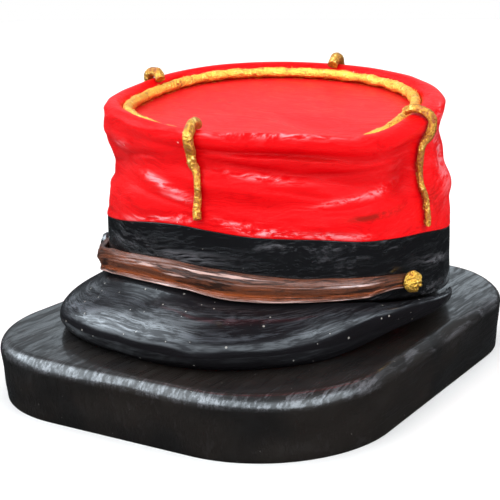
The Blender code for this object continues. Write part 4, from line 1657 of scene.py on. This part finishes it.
class CordTree:
    """Geometry Nodes tree that sweeps an uneven cord along a curve and beads it with grains."""

    # Kinds of the inputs besides the path
    INPUTS = {
        "Radius": "NodeSocketFloat",
        "Step": "NodeSocketFloat",
        "Sides": "NodeSocketInt",
        "Lump height": "NodeSocketFloat",
        "Lump scale": "NodeSocketFloat",
        "Grain size": "NodeSocketFloat",
        "Grain density": "NodeSocketFloat",
        "Seed": "NodeSocketInt",
        "Finish": "NodeSocketMaterial",
    }
    # Least and greatest share of a grain's size, and how flat it lies
    LEAST_GRAIN, GREATEST_GRAIN, FLATNESS = 0.45, 1.25, 0.55

    def __init__(self) -> None:
        """Builds the tree with named inputs."""
        self.tree = bpy.data.node_groups.new("Gilt cord", "GeometryNodeTree")
        face = self.tree.interface
        face.new_socket(name="Path", in_out="INPUT", socket_type="NodeSocketGeometry")
        face.new_socket(name="Cord", in_out="OUTPUT", socket_type="NodeSocketGeometry")
        self.sockets = {
            name: face.new_socket(name=name, in_out="INPUT", socket_type=kind)
            for name, kind in self.INPUTS.items()
        }
        self.draw()

    def draw(self) -> None:
        """Draws the tree: tube, lumps, grains, finish."""
        sheet = NodeSheet(self.tree)
        given, out = sheet.add("NodeGroupInput").outputs, sheet.add("NodeGroupOutput").inputs
        fed = {"Curve": given["Path"], "Length": given["Step"]}
        even = sheet.add("GeometryNodeResampleCurve", fed, mode="LENGTH").outputs["Curve"]
        fed = {"Resolution": given["Sides"], "Radius": given["Radius"]}
        section = sheet.add("GeometryNodeCurvePrimitiveCircle", fed).outputs["Curve"]
        stout = sheet.add("GeometryNodeInputRadius").outputs[0]
        fed = {"Curve": even, "Profile Curve": section, "Scale": stout, "Fill Caps": True}
        tube = sheet.add("GeometryNodeCurveToMesh", fed).outputs["Mesh"]
        fed = {"Scale": given["Lump scale"], "Detail": 2.0}
        lumps = sheet.add("ShaderNodeTexNoise", fed).outputs["Fac"]
        level = sheet.product(sheet.math("SUBTRACT", lumps, 0.5), given["Lump height"])
        push = sheet.vector("SCALE", sheet.add("GeometryNodeInputNormal").outputs[0], level)
        fed = {"Geometry": tube, "Offset": push}
        lumpy = sheet.add("GeometryNodeSetPosition", fed).outputs["Geometry"]
        fed = {"Mesh": lumpy, "Density": given["Grain density"], "Seed": given["Seed"]}
        spots = sheet.add("GeometryNodeDistributePointsOnFaces", fed).outputs
        fed = {"Radius": given["Grain size"], "Subdivisions": 2}
        grain = sheet.add("GeometryNodeMeshIcoSphere", fed).outputs["Mesh"]
        fed = {2: self.LEAST_GRAIN, 3: self.GREATEST_GRAIN, "Seed": given["Seed"]}
        size = sheet.add("FunctionNodeRandomValue", fed, data_type="FLOAT").outputs[1]
        fed = {0: size, 1: size, 2: sheet.product(size, self.FLATNESS)}
        flat = sheet.add("ShaderNodeCombineXYZ", fed).outputs[0]
        fed = {"Points": spots["Points"], "Instance": grain, "Rotation": spots["Rotation"], "Scale": flat}
        beads = sheet.add("GeometryNodeInstanceOnPoints", fed).outputs["Instances"]
        both = sheet.add("GeometryNodeJoinGeometry", {0: beads})
        sheet.feed(both.inputs[0], lumpy)
        real = sheet.add("GeometryNodeRealizeInstances", {0: both.outputs[0]}).outputs[0]
        fed = {"Geometry": real, "Material": given["Finish"]}
        sheet.feed(out[0], sheet.add("GeometryNodeSetMaterial", fed).outputs[0])

    def sweep(self, name: str, points: Grid, stout: Grid, closed: bool,
              **values: object) -> bpy.types.Object:
        """Sweeps the cord along points.

        Args:
            name: Name of the piece.
            points: Middle line of the cord.
            stout: Share of the cord's radius at each point.
            closed: Whether the line closes on itself.
            values: The tree's inputs by name.

        Returns:
            The cord as a plain mesh.
        """
        curve = bpy.data.curves.new(name, "CURVE")
        curve.dimensions = "3D"
        spline = curve.splines.new("POLY")
        spline.points.add(len(points) - 1)
        flat = np.concatenate([points, np.ones((len(points), 1))], axis=1)
        spline.points.foreach_set("co", flat.astype(np.float32).ravel())
        spline.points.foreach_set("radius", stout.astype(np.float32))
        spline.use_cyclic_u = closed
        path = new_object(name, curve)
        modifier = path.modifiers.new("cord", "NODES")
        modifier.node_group = self.tree
        for label, value in values.items():
            modifier[self.sockets[label.replace("_", " ")].identifier] = value
        return plain_copy(path, name)


@dataclass
class GoldBraid(Piece):
    """Gold cord, laid as a ring in the crown's top seam or upright down its side."""

    crown: Crown
    # Course on the crown, angle in degrees and share of the usual thickness, or none for the ring
    swing: tuple = ()
    steps: int = 160
    ring_steps: int = 360
    # Where the ring is nearest the camera, and how it lies lower and thinner there
    near_angle: float = 22
    near_spread: float = 48
    near_dip: float = 1.0 * MM
    near_thinning: float = 0.22
    # Course from which an upright cord may meet the ring
    meeting_course: float = 1.2
    surface_step: float = 0.01
    thick_and_thin: float = 0.07
    upright_share: float = 0.6
    ring_swell: Ripple = Ripple((6, 40), (0, 1), 83)
    upright_swell: Ripple = Ripple((2, 6), (0, 1), 87)
    core: float = 0.94
    tube_step: float = 0.8 * MM
    tube_sides: int = 16
    grain_size: float = 0.42 * MM
    grain_density: float = 120000.0

    def line(self) -> Grid:
        """Middle line of the cord."""
        return self.path()[0]

    def path(self) -> tuple[Grid, Grid]:
        """Points of the middle line, and the share of the usual thickness at each."""
        return self.upright_path() if self.swing else self.ring_path()

    def ring_path(self) -> tuple[Grid, Grid]:
        """Course of the ring cord.

        Returns:
            Points of its middle line, and the share of the usual thickness at each.
        """
        angle = full_turn(self.ring_steps)
        near = hump(turn_from(angle, self.near_angle), self.near_spread)
        swell = self.thick_and_thin * self.ring_swell.at(angle, 0 * angle)
        dip = self.form.crest_normal() * (self.near_dip * near)[:, None]
        return self.form.ring_point(angle) - dip, 1 - self.near_thinning * near + swell

    def square(self, angle: Grid, course: Grid) -> Grid:
        """Direction square to the crown's surface.

        Args:
            angle: Angle of each point.
            course: Its course.

        Returns:
            The unit direction at each point.
        """
        step = self.surface_step
        around = self.crown.surface(angle + step, course) - self.crown.surface(angle - step, course)
        low, high = np.maximum(course - step, 0.0), np.minimum(course + step, 3.0)
        upward = self.crown.surface(angle, high) - self.crown.surface(angle, low)
        square = np.cross(around, upward)
        return square / np.linalg.norm(square, axis=-1, keepdims=True)

    def upright_path(self) -> tuple[Grid, Grid]:
        """Course of an upright cord, from its foot over the rim until it meets the ring.

        Returns:
            Points of its middle line, and the share of the usual thickness at each.
        """
        course = np.concatenate([
            np.linspace(self.swing[0][0], 1.0, self.steps, endpoint=False),
            np.linspace(1.0, 2.0, self.steps // 2),
        ])
        angle = np.radians(smooth(self.swing, 1, course))
        stout = smooth(self.swing, 2, course)
        stand = self.form.cord_clearance + self.form.braid_diameter / 2 * stout
        points = self.crown.surface(angle, course) + self.square(angle, course) * stand[:, None]
        room = (self.form.braid_diameter + self.form.ring_diameter) / 2 + self.form.clearance
        gap = np.linalg.norm(points - self.form.ring_point(angle), axis=-1)
        count = int(np.argmax((gap < room) & (course > self.meeting_course))) or len(points)
        swell = self.thick_and_thin * self.upright_share * self.upright_swell.at(4 * course, 0 * course)
        return points[:count], (stout * (1 + swell))[:count]

    def build(self, tree: CordTree, material: bpy.types.Material) -> None:
        """Sweeps the cord along its line.

        Args:
            tree: The tree that sweeps it.
            material: Its finish.
        """
        if self.swing:
            diameter, lump_height, lump_scale = self.form.braid_diameter, 1.2 * MM, 190.0
        else:
            diameter, lump_height, lump_scale = self.form.ring_diameter, 1.7 * MM, 150.0
        made = tree.sweep(
            self.name, *self.path(), not self.swing,
            Radius=diameter / 2 * self.core, Step=self.tube_step, Sides=self.tube_sides,
            Lump_height=lump_height, Lump_scale=lump_scale,
            Grain_size=self.grain_size, Grain_density=self.grain_density,
            Seed=len(self.name), Finish=material,
        )
        self.hand_over(made, None, self.name)


@dataclass
class Studio:
    """Pale floor, soft light and the photograph's camera."""

    azimuth: float = math.radians(33.33)
    pitch: float = math.radians(13.94)
    roll: float = math.radians(-2.08)
    distance: float = 665.1 * MM
    aim: tuple[float, float, float] = (-21.5 * MM, 24.9 * MM, 53.8 * MM)
    focal_mm: float = 84.46
    sensor_mm: float = 36.0
    floor_half: float = 3.0
    floor_grey: float = 0.93
    low_light: float = 0.42
    top_light: float = 1.48
    dark_gloss: float = 0.03
    sky_gloss: float = 9.0
    back_gloss: float = 0.90
    gloss_tint: Colour = (0.80, 0.91, 1.0)
    # Directions of the sky that shines in gloss before and behind the cap
    sky_front: tuple[float, float, float] = (0.10, -0.99, 0.0)
    sky_far: tuple[float, float, float] = (-0.35, 0.93, 0.0)
    # The lamps: name, place in metres, power in watts
    lamps: tuple = (("key", (-0.30, -0.55, 0.95), 2.0), ("side", (0.95, -0.25, 0.55), 1.6))
    lamp_size: float = 0.5
    lamp_look: tuple[float, float, float] = (0.0, 0.0, 0.07)

    def camera(self) -> None:
        """Sets the camera at the photograph's angle."""
        turn, tip = self.azimuth, self.pitch
        back = Vector((math.sin(turn) * math.cos(tip), -math.cos(turn) * math.cos(tip), math.sin(tip)))
        right = Vector((math.cos(turn), math.sin(turn), 0.0))
        up = back.cross(right)
        level = math.cos(self.roll) * right + math.sin(self.roll) * up
        upright = -math.sin(self.roll) * right + math.cos(self.roll) * up
        data = bpy.data.cameras.new("camera")
        data.sensor_width = self.sensor_mm
        data.lens = self.focal_mm
        stand = Matrix((level, upright, back)).transposed().to_4x4()
        stand.translation = Vector(self.aim) + back * self.distance
        made = new_object("camera", data)
        made.matrix_world = stand
        bpy.context.scene.camera = made

    def softbox(self, name: str, place: tuple[float, float, float], power: float) -> None:
        """Area light that looks at the cap and doesn't show in gloss.

        Args:
            name: Name of the light.
            place: Where it stands.
            power: Its power in watts.
        """
        data = bpy.data.lights.new(name, "AREA")
        data.shape = "RECTANGLE"
        data.size = self.lamp_size
        data.size_y = self.lamp_size
        data.energy = power
        made = new_object(name, data)
        made.location = place
        made.rotation_euler = (Vector(place) - Vector(self.lamp_look)).to_track_quat("Z", "Y").to_euler()
        made.visible_glossy = False
        made.visible_camera = False

    def floor(self) -> None:
        """Lays a plain pale floor under the plinth."""
        half = self.floor_half
        mesh = bpy.data.meshes.new("floor")
        corners = [(-half, -half, 0), (half, -half, 0), (half, half, 0), (-half, half, 0)]
        mesh.from_pydata(corners, [], [(0, 1, 2, 3)])
        made = new_object("floor", mesh)
        pale = bpy.data.materials.new("pale floor")
        pale.use_nodes = True
        shader = pale.node_tree.nodes["Principled BSDF"].inputs
        shader["Base Color"].default_value = (self.floor_grey, self.floor_grey, self.floor_grey, 1.0)
        shader["Roughness"].default_value = 0.9
        shader["Specular IOR Level"].default_value = 0.1
        mesh.materials.append(pale)
        made.visible_glossy = False

    def sky(self) -> None:
        """Draws a white backdrop on all sides.

        Its light is even on matt surfaces, and in gloss it stands mostly above and behind the cap.
        """
        world = bpy.data.worlds.new("studio")
        world.use_nodes = True
        sheet = NodeSheet(world.node_tree)
        direction = sheet.add("ShaderNodeTexCoord").outputs["Generated"]
        level = sheet.add("ShaderNodeSeparateXYZ", {0: direction}).outputs[2]
        front = sheet.spread(sheet.vector("DOT_PRODUCT", direction, self.sky_front), -0.45, 0.0)
        open_sky = sheet.product(sheet.spread(level, 0.12, 0.45), sheet.spread(level, 0.97, 0.80))
        bright = sheet.product(open_sky, front, self.sky_gloss)
        rear = sheet.product(sheet.math("SUBTRACT", 1.0, front), sheet.spread(level, -0.02, 0.24))
        far = sheet.vector("DOT_PRODUCT", direction, self.sky_far)
        behind = sheet.product(rear, self.back_gloss, sheet.spread(far, 0.72, 0.95, 0.30, 1.0))
        gloss = sheet.math("MAXIMUM", sheet.math("MAXIMUM", bright, behind), self.dark_gloss)
        ray = sheet.add("ShaderNodeLightPath").outputs
        matt = sheet.spread(level, -0.4, 0.9, self.low_light, self.top_light)
        light = sheet.choose(ray["Is Glossy Ray"], matt, gloss)
        shade = world.node_tree.nodes["Background"].inputs
        sheet.feed(shade["Color"], sheet.blend(ray["Is Glossy Ray"], (1.0, 1.0, 1.0), self.gloss_tint))
        sheet.feed(shade["Strength"], sheet.choose(ray["Is Camera Ray"], light, 1.0))
        bpy.context.scene.world = world

    def build(self) -> None:
        """Sets up the backdrop, floor, lights and camera."""
        self.sky()
        bpy.context.scene.view_settings.view_transform = "Standard"
        self.floor()
        for name, place, power in self.lamps:
            self.softbox(name, place, power)
        self.camera()


# Where each upright cord runs: course on the crown, angle in degrees, share of the usual thickness
SWINGS = {
    "braid_front": (
        (0.10, 9.0, 1.00), (0.30, 8.6, 0.95), (0.50, 9.3, 0.80), (0.62, 8.3, 0.95),
        (0.75, 7.2, 1.15), (0.88, 6.8, 1.20), (1.00, 7.2, 1.30), (2.00, 5.5, 1.20),
    ),
    "braid_right": (
        (0.07, 84.0, 0.62), (0.30, 85.3, 0.72), (0.42, 84.6, 0.70), (0.55, 85.6, 0.75),
        (0.80, 84.9, 0.90), (0.90, 88.0, 1.10), (1.00, 89.0, 1.15), (2.00, 90.0, 1.00),
    ),
    "braid_back": (
        (0.04, 186, 0.9), (0.30, 188, 1.0), (0.55, 184, 0.9),
        (0.80, 186, 1.0), (1.00, 188, 1.5), (2.00, 185, 1.5),
    ),
    "braid_left": (
        (0.04, 268, 0.9), (0.30, 266, 1.0), (0.55, 270, 0.9),
        (0.80, 267, 1.0), (1.00, 264, 1.4), (2.00, 268, 1.4),
    ),
}


def main() -> None:
    """Builds the studio and each sub-assembly."""
    logging.basicConfig(level=logging.INFO, format="%(message)s")
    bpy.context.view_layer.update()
    Studio().build()
    low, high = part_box("plinth")
    form = KepiForm(plinth_top=high.z)
    effects = Effects()
    made = {use: finish.material(effects) for use, finish in FINISHES.items()}

    crown = Crown("crown_side", "crown_cloth", form)
    ring = GoldBraid("braid_ring", "gold_braid", form, crown)
    uprights = [GoldBraid(name, "gold_braid", form, crown, swing) for name, swing in SWINGS.items()]
    ring_line = ring.line()
    lines = np.concatenate([braid.line() for braid in uprights])
    Plinth("plinth_wood", "plinth_wood", form, low, high).build(made["plinth"])
    Band("band_cloth", "band_cloth", form).build(made["band"])
    crown.build(made["side"], ring_line, lines)
    crown.build_top(made["disc"], ring_line, lines)
    Peak("peak_leather", "peak_leather", form).build(made["peak"])
    ChinStrap("strap_leather", "strap_leather", form).build(made["strap"])
    Button("button_right", "button_gilt", form, 1.0).build(made["gilt button"])
    Button("button_left", "button_dark", form, 0.0).build(made["dark button"])
    tree = CordTree()
    ring.build(tree, made["ring"])
    for braid in uprights:
        braid.build(tree, made["braid"])


if __name__ == "__main__":
    main()
